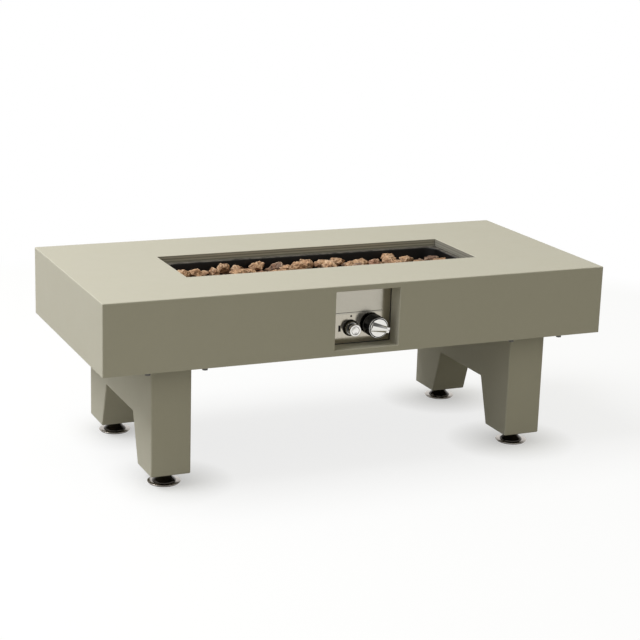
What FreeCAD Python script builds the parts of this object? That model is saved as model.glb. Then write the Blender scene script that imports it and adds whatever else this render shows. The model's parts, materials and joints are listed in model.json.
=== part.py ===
"""Gas fire pit table: a cast table body on two cast trestles with levelling feet.

Units are millimetres. The origin is on the floor under the centre of the table, +Z is up,
+X runs along the table to the right and the control recess is in the front face, at -Y.
"""
import FreeCAD, Part
import itertools
import math
import operator
import os
import random

import Sketcher

Vector = FreeCAD.Vector

SIZES = {
    # the table as a whole
    "table_length": 1060,
    "table_width": 490,
    "table_height": 385,
    "body_thickness": 139,
    "shell_wall": 10,
    "top_skin": 8,
    "edge_radius": 2,
    # the fire opening and the ledge that carries the burner pan
    "opening_length": 633,
    "opening_width": 184,
    "opening_edge": 1.5,
    "seat_depth": 16.5,
    "ledge_width": 9,
    "ledge_thickness": 8,
    "collar_wall": 8,
    # the control recess in the front face
    "recess_width": 136.4,
    "recess_height": 116,
    "recess_sill": 11.6,
    "recess_depth": 40,
    "recess_wall": 12,
    "recess_edge": 1,
    # plates between the body and the trestles
    "plate_length": 130,
    "plate_thickness": 4,
    "plate_lip": 4.5,
    "pillar_side": 36,
    "pillar_reach": 46,
    "plate_bolt_spread": 112,
    "plate_bolt_edge": 11,
    "plate_bolt_radius": 3,
    "plate_bolt_length": 20,
    "plate_bolt_head": 4,
    "plate_washer": 1.6,
    # trestles
    "trestle_inset": 145.5,
    "trestle_thickness": 80,
    "trestle_width": 410.8,
    "trestle_wall": 10,
    "trestle_edge": 3,
    "cut_height": 98,
    "cut_top_width": 180.6,
    "cut_foot_width": 244.4,
    "leg_bolt_spread": 300,
    "leg_bolt_radius": 4,
    "leg_bolt_length": 22,
    "leg_bolt_head": 5.3,
    "leg_washer": 1.6,
    "leg_insert_radius": 6,
    "leg_insert_length": 24,
    "leg_boss_side": 36,
    "leg_boss_depth": 32,
    # levelling feet
    "foot_spread": 327.6,
    "foot_height": 26.5,
    "foot_travel": 15,
    "foot_gap": 0.3,
    "sole_radius": 30,
    "sole_thickness": 1.8,
    "foot_rim_radius": 32.5,
    "foot_rim_thickness": 2,
    "foot_dome_radius": 23,
    "foot_dome_top": 13,
    "foot_neck_radius": 9,
    "foot_neck_height": 4,
    "stud_radius": 5,
    "stud_spare": 3.9,
    "stud_socket": 9,
    "foot_insert_radius": 8,
    "foot_boss_radius": 20,
    "foot_boss_height": 22,
    # burner pan and what stands in it
    "pan_sheet": 2,
    "pan_gap": 1,
    "pan_depth": 56,
    "pan_corner": 25,
    "burner_length": 540,
    "burner_radius": 9,
    "burner_wall": 1.5,
    "burner_lift": 3,
    "burner_port_radius": 1.2,
    "burner_port_pitch": 20,
    "bracket_spread": 400,
    "bracket_width": 16,
    "bracket_sheet": 2,
    "riser_radius": 8,
    "riser_wall": 1.5,
    "elbow_wall": 3.5,
    "elbow_reach": 22,
    "mixer_length": 74,
    "mixer_radius": 9,
    "mixer_wall": 1.5,
    "jet_length": 18,
    "jet_bore_radius": 0.8,
    "tube_radius": 4,
    "tube_wall": 1,
    "tube_nut_flats": 16,
    "tube_nut_length": 8,
    # ignition pieces in the pan
    "ignition_offset": 34,
    "ignition_front": 26,
    "ignition_spacing": 20,
    "ignition_plate_length": 40,
    "ignition_plate_width": 18,
    "ignition_sheet": 1.5,
    "ceramic_radius": 3.5,
    "ceramic_rise": 14,
    "probe_drop": 12,
    "electrode_radius": 1.2,
    "electrode_rise": 7,
    "thermocouple_radius": 3,
    "thermocouple_rise": 19,
    "spark_lead_radius": 1.8,
    "thermocouple_lead_radius": 1.3,
    "lead_start": 25,
    "lead_bow": 8,
    "lead_sag": 10,
    "lead_step": 5,
    # heat shield between the pan and the controls
    "shield_length": 160,
    "shield_drop": 72,
    "shield_sheet": 1,
    "shield_screw_spread": 120,
    "shield_screw_radius": 2,
    # control panel and its label
    "panel_sheet": 1.5,
    "panel_side_lap": 10,
    "panel_foot_lap": 8,
    "panel_head_lap": 2,
    "panel_screw_radius": 2,
    "panel_screw_rise": 13,
    "label_width": 117,
    "label_height": 57,
    "label_sheet": 0.3,
    # gas valve and its knob
    "knob_side": 27.5,
    "knob_rise": 47.6,
    "knob_gap": 5.5,
    "knob_radius": 22,
    "knob_length": 25.5,
    "knob_hollow_radius": 18,
    "knob_hollow_depth": 8,
    "knob_hub_radius": 8,
    "knob_edge": 1.5,
    "knob_face_radius": 20.3,
    "knob_face_sheet": 2,
    "knob_groove_radius": 18.6,
    "knob_groove_width": 0.8,
    "knob_groove_depth": 0.8,
    "grip_height": 5.5,
    "grip_tail_width": 15,
    "grip_tip_width": 8.5,
    "grip_tip_reach": 23,
    "grip_edge": 1,
    "knob_pointer_angle": 15,
    "knob_travel": 4,
    "stem_radius": 4,
    "stem_bite": 18,
    "stem_tail": 18,
    "bonnet_radius": 11,
    "bonnet_flange_radius": 15,
    "bonnet_flange": 3,
    "bonnet_length": 12,
    "valve_side": 32,
    "valve_length": 44,
    "plug_radius": 8,
    "plug_length": 27,
    "plug_socket": 19,
    "plug_port_radius": 2,
    "stem_spring_wire": 0.45,
    "inlet_radius": 7.94,
    "inlet_length": 14,
    "inlet_bore_radius": 3,
    "inlet_hex_flats": 19,
    "inlet_hex_length": 6,
    # igniter
    "igniter_side": -18,
    "igniter_rise": 43.4,
    "bezel_radius": 16.5,
    "bezel_depth": 6,
    "bezel_edge": 2,
    "bevel_radius": 14.5,
    "bevel_depth": 3,
    "igniter_barrel_radius": 10.8,
    "igniter_reach": 23,
    "igniter_tail": 58,
    "igniter_nut_flats": 27,
    "igniter_nut_length": 7,
    "cap_radius": 12,
    "cap_length": 7,
    "cap_lap": 5,
    "cap_edge": 1,
    "button_radius": 7.8,
    "button_length": 5,
    "button_recess": 0.8,
    "button_travel": 3,
    "button_stalk_radius": 3,
    "button_well_radius": 8.2,
    "button_well_depth": 14,
    "button_spring_wire": 0.4,
    "battery_radius": 7.2,
    "battery_length": 50,
    # clearances that the fits share
    "bolt_fit": 0.2,
    "running_fit": 0.08,
    "axial_fit": 0.2,
    # lava rocks
    "rock_half_length": 25,
    "rock_half_height": 15,
    "small_rock_half_length": 13,
    "small_rock_half_height": 8.5,
    "rock_gap": 0.3,
    "rock_headroom": 14.5,
}
ROCK_TRIES = 250
ROCK_SPOTS = 24
ROCK_DROPS = 4
SMALL_ROCKS = (0.3, 0.65)
ROCK_CORNERS = 12
PRISM_SIDES = 12
SPRING_TURNS = 5
GOLDEN_ANGLE = math.pi * (3 - math.sqrt(5))


class Length:
    """A size that knows its number and the sheet formula that it comes from."""

    def __init__(self, number, formula):
        self.number = number
        self.formula = formula

    def __add__(self, other):
        return joined(self, "+", other)

    def __sub__(self, other):
        return joined(self, "-", other)

    def __rsub__(self, other):
        return joined(other, "-", self)

    def __mul__(self, other):
        return joined(self, "*", other)

    def __truediv__(self, other):
        return joined(self, "/", other)

    def __neg__(self):
        return joined(0, "-", self)

    __radd__ = __add__
    __rmul__ = __mul__


OPERATIONS = {"+": operator.add, "-": operator.sub, "*": operator.mul, "/": operator.truediv}


def as_length(value):
    return value if isinstance(value, Length) else Length(value, str(value))


def joined(left, sign, right):
    left, right = as_length(left), as_length(right)
    number = OPERATIONS[sign](left.number, right.number)
    return Length(number, f"({left.formula} {sign} {right.formula})")


def root(length):
    return Length(math.sqrt(length.number), f"sqrt({length.formula})")


class Names:
    """The sheet's sizes, one attribute each."""


DOC = FreeCAD.newDocument("fire_pit_table")
SHEET = DOC.addObject("Spreadsheet::Sheet", "Sizes")
s = Names()
for row, (alias, number) in enumerate(SIZES.items(), 1):
    SHEET.set(f"A{row}", alias)
    SHEET.set(f"B{row}", str(number))
    SHEET.setAlias(f"B{row}", alias)
    setattr(s, alias, Length(number, f"Sizes.{alias}"))
DOC.recompute()

PIECES = {}

# places that several pieces share
TOP = s.table_height
LOW = s.table_height - s.body_thickness
FRONT = s.table_width / 2
SKIN_LOW = TOP - s.top_skin
LEDGE_TOP = TOP - s.seat_depth
LEDGE_LOW = LEDGE_TOP - s.ledge_thickness
PLATE_TOP = LOW + s.plate_thickness
PAN_RIM_TOP = LEDGE_TOP + s.pan_sheet
PAN_FLOOR = PAN_RIM_TOP - s.pan_depth
PAN_LOW = PAN_FLOOR - s.pan_sheet
WELL_LENGTH = s.opening_length - 2 * s.ledge_width - 2 * s.pan_gap - 2 * s.pan_sheet
WELL_WIDTH = s.opening_width - 2 * s.ledge_width - 2 * s.pan_gap - 2 * s.pan_sheet
BURNER_Z = PAN_FLOOR + s.burner_lift + s.burner_radius
RECESS_LOW = LOW + s.recess_sill
PANEL_Y = s.recess_depth - FRONT
PANEL_BACK = PANEL_Y + s.panel_sheet
KNOB_Z = LOW + s.knob_rise
IGNITER_Z = LOW + s.igniter_rise
VALVE_Y = PANEL_BACK + s.bonnet_length
VALVE_BACK = VALVE_Y + s.valve_length
TRESTLE_X = s.table_length / 2 - s.trestle_inset
LEG_CORNERS = [(x, y) for x in (-1, 1) for y in (-1, 1)]

# how a part that is made along Z is turned to lie along another axis
TURNS = {
    "z": FreeCAD.Rotation(),
    "-z": FreeCAD.Rotation(Vector(1, 0, 0), 180),
    "y": FreeCAD.Rotation(Vector(1, 0, 0), -90),
    "-y": FreeCAD.Rotation(Vector(1, 0, 0), 90),
    "x": FreeCAD.Rotation(Vector(0, 1, 0), 90),
}


def bind(thing, prop, length):
    thing.setExpression(prop, as_length(length).formula)


def put(thing, point, axis="z"):
    """Turn a part to its axis and tie its place to the sheet."""
    thing.Placement = FreeCAD.Placement(Vector(), TURNS[axis])
    for letter, length in zip("xyz", point):
        bind(thing, f".Placement.Base.{letter}", length)
    return thing


def box(name, low, high):
    part = DOC.addObject("Part::Box", name)
    for prop, near, far in zip(("Length", "Width", "Height"), low, high):
        bind(part, prop, as_length(far) - near)
    return put(part, low)


def rod(name, start, axis, radius, length):
    part = DOC.addObject("Part::Cylinder", name)
    bind(part, "Radius", radius)
    bind(part, "Height", length)
    return put(part, start, axis)


def cone(name, start, axis, radii, length):
    part = DOC.addObject("Part::Cone", name)
    bind(part, "Radius1", radii[0])
    bind(part, "Radius2", radii[1])
    bind(part, "Height", length)
    return put(part, start, axis)


def hexagon(name, start, axis, flats, length):
    """A hexagonal prism, as wide across its flats as the spanner that turns it."""
    part = DOC.addObject("Part::Prism", name)
    part.Polygon = 6
    bind(part, "Circumradius", flats / root(as_length(3)))
    bind(part, "Height", length)
    return put(part, start, axis)


def cut(name, base, *tools):
    for number, tool in enumerate(tools, 1):
        part = DOC.addObject("Part::Cut", name if number == len(tools) else f"{name}_cut_{number}")
        part.Base = base
        part.Tool = tool
        base = part
    return base


def fused(name, *parts):
    part = DOC.addObject("Part::MultiFuse", name)
    part.Shapes = list(parts)
    return part


def group(name, parts):
    """Several separate solids that share one node."""
    part = DOC.addObject("Part::Compound", name)
    part.Links = list(parts)
    return part


def shaped(name, shape):
    part = DOC.addObject("Part::Feature", name)
    part.Shape = shape
    return part


def piece(name, part):
    part.Label = name
    PIECES[name] = part
    return part


# sketches


def sketch_on(body, name, role, offset):
    """A sketch on one of the body's own origin planes, moved along the plane's normal."""
    sketch = body.newObject("Sketcher::SketchObject", name)
    plane = next(item for item in body.Origin.OriginFeatures if item.Role == role)
    sketch.AttachmentSupport = (plane, [""])
    sketch.MapMode = "FlatFace"
    bind(sketch, ".AttachmentOffset.Base.z", offset)
    return sketch


def tie(sketch, kind, shape, point, length):
    number = sketch.addConstraint(Sketcher.Constraint(kind, -1, 1, shape, point, length.number))
    sketch.setExpression(f"Constraints[{number}]", length.formula)


def outline(sketch, corners):
    """Close a chain of lines through the corners, each tied to the sheet."""
    first = sketch.GeometryCount
    corners = [(as_length(x), as_length(y)) for x, y in corners]
    count = len(corners)
    for number, (x, y) in enumerate(corners):
        next_x, next_y = corners[(number + 1) % count]
        start = Vector(x.number, y.number, 0)
        end = Vector(next_x.number, next_y.number, 0)
        sketch.addGeometry(Part.LineSegment(start, end), False)
    for number in range(count):
        follower = first + (number + 1) % count
        sketch.addConstraint(Sketcher.Constraint("Coincident", first + number, 2, follower, 1))
    for number, (x, y) in enumerate(corners):
        tie(sketch, "DistanceX", first + number, 1, x)
        tie(sketch, "DistanceY", first + number, 1, y)


def rectangle(sketch, low, high):
    outline(sketch, [low, (high[0], low[1]), high, (low[0], high[1])])


def rounded_rectangle(sketch, half_x, half_y, radius):
    """A rectangle about the origin whose corners are arcs that run into its sides."""
    first = sketch.GeometryCount
    corners = [(1, 1), (-1, 1), (-1, -1), (1, -1)]
    centre_x, centre_y = half_x - radius, half_y - radius
    for number, (x, y) in enumerate(corners):
        centre = Vector(x * centre_x.number, y * centre_y.number, 0)
        circle = Part.Circle(centre, Vector(0, 0, 1), radius.number)
        arc = Part.ArcOfCircle(circle, number * math.pi / 2, (number + 1) * math.pi / 2)
        sketch.addGeometry(arc, False)
    for number in range(4):
        start = sketch.getPoint(first + number, 2)
        end = sketch.getPoint(first + (number + 1) % 4, 1)
        sketch.addGeometry(Part.LineSegment(start, end), False)
    for number, (x, y) in enumerate(corners):
        arc, line, next_arc = first + number, first + 4 + number, first + (number + 1) % 4
        sketch.addConstraint(Sketcher.Constraint("Tangent", arc, 2, line, 1))
        sketch.addConstraint(Sketcher.Constraint("Tangent", line, 2, next_arc, 1))
        tie(sketch, "DistanceX", arc, 3, x * centre_x)
        tie(sketch, "DistanceY", arc, 3, y * centre_y)
        tie_radius(sketch, arc, radius)


def tie_radius(sketch, shape, radius):
    number = sketch.addConstraint(Sketcher.Constraint("Radius", shape, radius.number))
    sketch.setExpression(f"Constraints[{number}]", radius.formula)


def hole(sketch, centre, radius):
    """A circle round a place that is tied to the sheet, or round the origin without one."""
    x, y = [as_length(part) for part in centre or (0, 0)]
    circle = Part.Circle(Vector(x.number, y.number, 0), Vector(0, 0, 1), radius.number)
    shape = sketch.addGeometry(circle, False)
    tie_radius(sketch, shape, radius)
    if centre is None:
        sketch.addConstraint(Sketcher.Constraint("Coincident", shape, 3, -1, 1))
        return
    tie(sketch, "DistanceX", shape, 3, x)
    tie(sketch, "DistanceY", shape, 3, y)


def pad(body, name, sketch, length, backward=False, both_ways=False):
    return grown(body, "PartDesign::Pad", name, sketch, length, backward, both_ways)


def pocket(body, name, sketch, length, backward=False, both_ways=False):
    return grown(body, "PartDesign::Pocket", name, sketch, length, backward, both_ways)


def grown(body, kind, name, sketch, length, backward, both_ways):
    feature = body.newObject(kind, name)
    feature.Profile = sketch
    feature.Reversed = backward
    if both_ways:
        feature.SideType = "Symmetric"
    bind(feature, "Length", length)
    return feature


def round_edges(body, name, radius, chosen):
    """Fillet the edges of the body's last feature that the test picks."""
    DOC.recompute()
    feature = body.Tip
    edges = [f"Edge{number}" for number, edge in enumerate(feature.Shape.Edges, 1) if chosen(edge)]
    fillet = body.newObject("PartDesign::Fillet", name)
    fillet.Base = (feature, edges)
    bind(fillet, "Radius", radius)
    return fillet


def spans(edge):
    box_around = edge.BoundBox
    return box_around.XLength, box_around.YLength, box_around.ZLength


def upright(edge):
    across_x, across_y, _ = spans(edge)
    return across_x < 1e-6 and across_y < 1e-6


def level_at(edge, height):
    box_around = edge.BoundBox
    return abs(box_around.ZMin - height) < 1e-4 and abs(box_around.ZMax - height) < 1e-4


# table body


def plate_corners(scale_x=1, scale_y=1):
    """The four bolt places of one leg plate, beside its trestle's centre."""
    across = s.plate_bolt_spread / 2
    along = FRONT - s.plate_bolt_edge
    return [(x * across * scale_x, y * along * scale_y) for x, y in LEG_CORNERS]


def table_body():
    body = DOC.addObject("PartDesign::Body", "table_body_solid")
    half_length, half_width = s.table_length / 2, s.table_width / 2

    block = sketch_on(body, "block_outline", "XY_Plane", LOW)
    rectangle(block, (-half_length, -half_width), (half_length, half_width))
    pad(body, "block", block, s.body_thickness)
    top = TOP.number
    round_edges(body, "block_edges", s.edge_radius, lambda edge: upright(edge) or level_at(edge, top))

    inner_length, inner_width = half_length - s.shell_wall, half_width - s.shell_wall
    cavity = sketch_on(body, "cavity_outline", "XY_Plane", LOW)
    rectangle(cavity, (-inner_length, -inner_width), (inner_length, inner_width))
    pocket(body, "cavity", cavity, s.body_thickness - s.top_skin, backward=True)

    collar_x = s.opening_length / 2 + s.collar_wall
    collar_y = s.opening_width / 2 + s.collar_wall
    collar = sketch_on(body, "collar_outline", "XY_Plane", LEDGE_LOW)
    rectangle(collar, (-collar_x, -collar_y), (collar_x, collar_y))
    pad(body, "collar", collar, SKIN_LOW - LEDGE_LOW)

    tunnel_x = s.recess_width / 2 + s.recess_wall
    tunnel = sketch_on(body, "tunnel_outline", "XY_Plane", LOW)
    rectangle(tunnel, (-tunnel_x, s.shell_wall / 2 - half_width), (tunnel_x, PANEL_Y))
    pad(body, "tunnel", tunnel, s.body_thickness - s.top_skin)

    pillars = sketch_on(body, "pillar_outlines", "XY_Plane", PLATE_TOP)
    for side in (-1, 1):
        for x, y in plate_corners():
            middle = side * TRESTLE_X + x
            inner = s.pillar_reach - half_width
            outer = s.shell_wall / 2 - half_width
            rows = (inner, outer) if y.number < 0 else (-outer, -inner)
            low, high = sorted(rows, key=lambda row: row.number)
            rectangle(pillars, (middle - s.pillar_side / 2, low), (middle + s.pillar_side / 2, high))
    pad(body, "pillars", pillars, SKIN_LOW - PLATE_TOP)

    fire_x = s.opening_length / 2 - s.ledge_width
    fire_y = s.opening_width / 2 - s.ledge_width
    fire = sketch_on(body, "fire_hole_outline", "XY_Plane", LEDGE_LOW)
    rounded_rectangle(fire, fire_x, fire_y, s.pan_corner + s.pan_sheet + s.pan_gap)
    pocket(body, "fire_hole", fire, s.body_thickness, backward=True)

    opening_x, opening_y = s.opening_length / 2, s.opening_width / 2
    opening = sketch_on(body, "opening_outline", "XY_Plane", LEDGE_TOP)
    rectangle(opening, (-opening_x, -opening_y), (opening_x, opening_y))
    pocket(body, "opening", opening, s.body_thickness, backward=True)

    recess_x = s.recess_width / 2
    recess = sketch_on(body, "recess_outline", "XZ_Plane", FRONT)
    rectangle(recess, (-recess_x, RECESS_LOW), (recess_x, RECESS_LOW + s.recess_height))
    pocket(body, "recess", recess, s.recess_depth)

    seats = sketch_on(body, "plate_seat_outlines", "XY_Plane", LOW)
    seat_y = FRONT - s.plate_lip + s.bolt_fit
    for side in (-1, 1):
        middle = side * TRESTLE_X
        reach = s.plate_length / 2 + s.bolt_fit
        rectangle(seats, (middle - reach, -seat_y), (middle + reach, seat_y))
    pocket(body, "plate_seats", seats, s.plate_thickness, backward=True)

    bolts = sketch_on(body, "plate_bolt_holes", "XY_Plane", PLATE_TOP)
    for side in (-1, 1):
        for x, y in plate_corners():
            hole(bolts, (side * TRESTLE_X + x, y), s.plate_bolt_radius + s.bolt_fit)
    pocket(body, "plate_bolt_bores", bolts, s.plate_bolt_length, backward=True)

    screws = sketch_on(body, "panel_screw_holes", "XZ_Plane", -PANEL_Y)
    for centre in panel_screw_places():
        hole(screws, centre, s.panel_screw_radius + s.bolt_fit)
    pocket(body, "panel_screw_bores", screws, s.recess_wall, backward=True)

    shield = sketch_on(body, "shield_screw_holes", "XZ_Plane", collar_y)
    for centre in shield_screw_places():
        hole(shield, centre, s.shield_screw_radius + s.bolt_fit)
    pocket(body, "shield_screw_bores", shield, s.collar_wall - s.opening_edge)

    rim = (opening_x.number, opening_y.number)
    round_edges(body, "opening_edges", s.opening_edge,
                lambda edge: level_at(edge, top) and within(edge, rim))
    front = -FRONT.number
    reach = recess_x.number
    round_edges(body, "recess_edges", s.recess_edge,
                lambda edge: on_front(edge, front) and within(edge, (reach, math.inf)))
    return piece("table_body", body)


def within(edge, reach):
    around = edge.BoundBox
    widest_x = max(abs(around.XMin), abs(around.XMax))
    widest_y = max(abs(around.YMin), abs(around.YMax))
    return widest_x < reach[0] + 1e-3 and widest_y < reach[1] + 1e-3


def on_front(edge, front):
    around = edge.BoundBox
    return abs(around.YMin - front) < 1e-4 and abs(around.YMax - front) < 1e-4


def panel_screw_places():
    """The X and Z of the control panel's four screws, in the recess's side walls."""
    across = s.recess_width / 2 + s.recess_wall / 2
    low = RECESS_LOW + s.panel_screw_rise
    high = RECESS_LOW + s.recess_height - s.panel_screw_rise
    return [(x * across, z) for x in (-1, 1) for z in (low, high)]


def shield_screw_places():
    height = (SKIN_LOW + LEDGE_LOW) / 2
    return [(x * s.shield_screw_spread / 2, height) for x in (-1, 1)]


# leg plates and their bolts


def leg_plate(name, side):
    body = DOC.addObject("PartDesign::Body", f"{name}_solid")
    middle = side * TRESTLE_X
    reach_y = FRONT - s.plate_lip
    sheet = sketch_on(body, f"{name}_outline", "XY_Plane", LOW)
    rectangle(sheet, (middle - s.plate_length / 2, -reach_y), (middle + s.plate_length / 2, reach_y))
    for x, y in plate_corners():
        hole(sheet, (middle + x, y), s.plate_bolt_radius + s.bolt_fit)
    for y in (-1, 1):
        hole(sheet, (middle, y * s.leg_bolt_spread / 2), s.leg_bolt_radius + s.bolt_fit)
    pad(body, f"{name}_sheet", sheet, s.plate_thickness)
    return piece(name, body)


def hex_bolt(name, point, axis, radius, length, head):
    """A bolt whose shank runs from the seat of its head along the axis."""
    back = {"z": "-z", "-z": "z"}[axis]
    return fused(name, rod(f"{name}_shank", point, axis, radius, length),
                 hexagon(f"{name}_head", point, back, radius * 10 / 3, head))


def washer(name, point, axis, radius, sheet):
    outer = rod(f"{name}_disc", point, axis, radius * 2, sheet)
    return cut(name, outer, rod(f"{name}_bore", point, axis, radius + s.bolt_fit, sheet))


def plate_fasteners():
    places = [(side * TRESTLE_X + x, y) for side in (-1, 1) for x, y in plate_corners()]
    head_top = LOW - s.plate_washer
    bolts = [hex_bolt(f"plate_bolt_{number}", (x, y, head_top), "z", s.plate_bolt_radius,
                      s.plate_bolt_length, s.plate_bolt_head)
             for number, (x, y) in enumerate(places, 1)]
    washers = [washer(f"plate_washer_{number}", (x, y, head_top), "z", s.plate_bolt_radius,
                      s.plate_washer)
               for number, (x, y) in enumerate(places, 1)]
    piece("plate_bolts", group("plate_bolts", bolts))
    return washers


def leg_fasteners():
    places = [(x * TRESTLE_X, y * s.leg_bolt_spread / 2) for x, y in LEG_CORNERS]
    seat = PLATE_TOP + s.leg_washer
    bolts = [hex_bolt(f"leg_bolt_{number}", (x, y, seat), "-z", s.leg_bolt_radius,
                      s.leg_bolt_length, s.leg_bolt_head)
             for number, (x, y) in enumerate(places, 1)]
    washers = [washer(f"leg_washer_{number}", (x, y, PLATE_TOP), "z", s.leg_bolt_radius, s.leg_washer)
               for number, (x, y) in enumerate(places, 1)]
    inserts = [sleeve(f"leg_insert_{number}", (x, y, LOW), "-z", s.leg_insert_radius,
                      s.leg_bolt_radius + s.bolt_fit, s.leg_insert_length)
               for number, (x, y) in enumerate(places, 1)]
    piece("leg_bolts", group("leg_bolts", bolts))
    piece("leg_inserts", group("leg_inserts", inserts))
    return washers


def sleeve(name, start, axis, radius, bore, length):
    outer = rod(f"{name}_outside", start, axis, radius, length)
    return cut(name, outer, rod(f"{name}_bore", start, axis, bore, length))


# trestles


def trestle(name, side):
    """A hollow cast trestle: two splayed legs joined by a cross bar, open towards the body."""
    body = DOC.addObject("PartDesign::Body", f"{name}_solid")
    middle = side * TRESTLE_X
    outer, leg_low = s.trestle_width / 2, s.foot_height
    cut_top, cut_foot = s.cut_top_width / 2, s.cut_foot_width / 2
    arch = leg_low + s.cut_height

    side_view = sketch_on(body, f"{name}_side_view", "YZ_Plane", middle)
    outline(side_view, [(-outer, leg_low), (-cut_foot, leg_low), (-cut_top, arch), (cut_top, arch),
                        (cut_foot, leg_low), (outer, leg_low), (outer, LOW), (-outer, LOW)])
    pad(body, f"{name}_block", side_view, s.trestle_thickness, both_ways=True)
    low = LOW.number
    round_edges(body, f"{name}_edges", s.trestle_edge, lambda edge: not level_at(edge, low))

    slope = (cut_foot - cut_top) / s.cut_height
    shift = s.trestle_wall * root(slope * slope + 1) - s.trestle_wall * slope
    wall = s.trestle_wall
    core = sketch_on(body, f"{name}_core_outline", "YZ_Plane", middle)
    outline(core, [(wall - outer, leg_low + wall), (-cut_foot - shift, leg_low + wall),
                   (-cut_top - shift, arch + wall), (cut_top + shift, arch + wall),
                   (cut_foot + shift, leg_low + wall), (outer - wall, leg_low + wall),
                   (outer - wall, LOW + wall), (wall - outer, LOW + wall)])
    pocket(body, f"{name}_core", core, s.trestle_thickness - 2 * wall, both_ways=True)

    inside = s.trestle_thickness / 2 - wall / 2
    bosses = sketch_on(body, f"{name}_bolt_boss_outlines", "XY_Plane", LOW - s.leg_boss_depth)
    for y in (-1, 1):
        centre = y * s.leg_bolt_spread / 2
        rectangle(bosses, (middle - inside, centre - s.leg_boss_side / 2),
                  (middle + inside, centre + s.leg_boss_side / 2))
    pad(body, f"{name}_bolt_bosses", bosses, s.leg_boss_depth)

    feet = sketch_on(body, f"{name}_foot_boss_outlines", "XY_Plane", leg_low + wall / 2)
    for y in (-1, 1):
        hole(feet, (middle, y * s.foot_spread / 2), s.foot_boss_radius)
    pad(body, f"{name}_foot_bosses", feet, s.foot_boss_height - wall / 2)

    inserts = sketch_on(body, f"{name}_insert_outlines", "XY_Plane", leg_low)
    for y in (-1, 1):
        hole(inserts, (middle, y * s.foot_spread / 2), s.foot_insert_radius)
    pocket(body, f"{name}_insert_bores", inserts, s.foot_boss_height, backward=True)

    tops = sketch_on(body, f"{name}_leg_insert_outlines", "XY_Plane", LOW)
    for y in (-1, 1):
        hole(tops, (middle, y * s.leg_bolt_spread / 2), s.leg_insert_radius)
    pocket(body, f"{name}_leg_insert_bores", tops, s.leg_insert_length)
    return piece(name, body)


# levelling feet


def levelling_foot(tag, x, y):
    """One foot: rubber sole, domed chrome pad and the stud that turns in the leg's insert."""
    centre = (x * TRESTLE_X, y * s.foot_spread / 2)
    rim_low = s.sole_thickness
    rim_top = rim_low + s.foot_rim_thickness
    neck_low = s.foot_height - s.foot_gap - s.foot_neck_height
    sole = rod(f"foot_sole_{tag}_disc", (*centre, 0), "z", s.sole_radius, s.sole_thickness)
    piece(f"foot_sole_{tag}", sole)

    socket_low = neck_low + s.foot_neck_height - s.stud_socket
    rim = rod(f"foot_rim_{tag}", (*centre, rim_low), "z", s.foot_rim_radius, s.foot_rim_thickness)
    dome = cone(f"foot_dome_{tag}", (*centre, rim_top), "z", (s.foot_dome_radius, s.foot_dome_top),
                neck_low - rim_top)
    neck = rod(f"foot_neck_{tag}", (*centre, neck_low), "z", s.foot_neck_radius, s.foot_neck_height)
    socket = rod(f"foot_socket_{tag}", (*centre, socket_low), "z", s.stud_radius + s.running_fit,
                 s.foot_height)
    shell = fused(f"foot_shell_{tag}", rim, dome, neck)
    piece(f"foot_pad_{tag}", cut(f"foot_pad_{tag}", shell, socket))

    stud_low = socket_low + s.axial_fit
    stud_top = s.foot_height + s.foot_boss_height + s.foot_travel + s.stud_spare
    stud = rod(f"foot_stud_{tag}_rod", (*centre, stud_low), "z", s.stud_radius, stud_top - stud_low)
    piece(f"foot_stud_{tag}", stud)


def foot_inserts():
    inserts = [sleeve(f"foot_insert_{number}", (x * TRESTLE_X, y * s.foot_spread / 2,
                                                 s.foot_height),
                      "z", s.foot_insert_radius, s.stud_radius + s.running_fit, s.foot_boss_height)
               for number, (x, y) in enumerate(LEG_CORNERS, 1)]
    piece("foot_inserts", group("foot_inserts", inserts))


# burner pan and burner


def ignition_places():
    """The X and Y of the electrode and of the thermocouple, in front of the burner."""
    middle = -s.ignition_offset
    return [(middle - s.ignition_spacing / 2, -s.ignition_front),
            (middle + s.ignition_spacing / 2, -s.ignition_front)]


def burner_pan():
    body = DOC.addObject("PartDesign::Body", "burner_pan_solid")
    rim_x, rim_y = s.opening_length / 2 - s.pan_gap, s.opening_width / 2 - s.pan_gap
    outer_x, outer_y = WELL_LENGTH / 2 + s.pan_sheet, WELL_WIDTH / 2 + s.pan_sheet

    trough = sketch_on(body, "trough_outline", "XY_Plane", PAN_LOW)
    rounded_rectangle(trough, outer_x, outer_y, s.pan_corner + s.pan_sheet)
    pad(body, "trough", trough, s.pan_depth + s.pan_sheet)

    rim = sketch_on(body, "pan_rim_outline", "XY_Plane", LEDGE_TOP)
    rectangle(rim, (-rim_x, -rim_y), (rim_x, rim_y))
    pad(body, "pan_rim", rim, s.pan_sheet)

    well = sketch_on(body, "well_outline", "XY_Plane", PAN_FLOOR)
    rounded_rectangle(well, WELL_LENGTH / 2, WELL_WIDTH / 2, s.pan_corner)
    pocket(body, "well", well, s.pan_depth, backward=True)

    holes = sketch_on(body, "pan_holes", "XY_Plane", PAN_FLOOR)
    hole(holes, None, s.riser_radius + s.bolt_fit)
    electrode, thermocouple = ignition_places()
    hole(holes, electrode, s.ceramic_radius + s.bolt_fit)
    hole(holes, thermocouple, s.thermocouple_radius + s.bolt_fit)
    pocket(body, "pan_bores", holes, s.pan_sheet)
    return piece("burner_pan", body)


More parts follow.
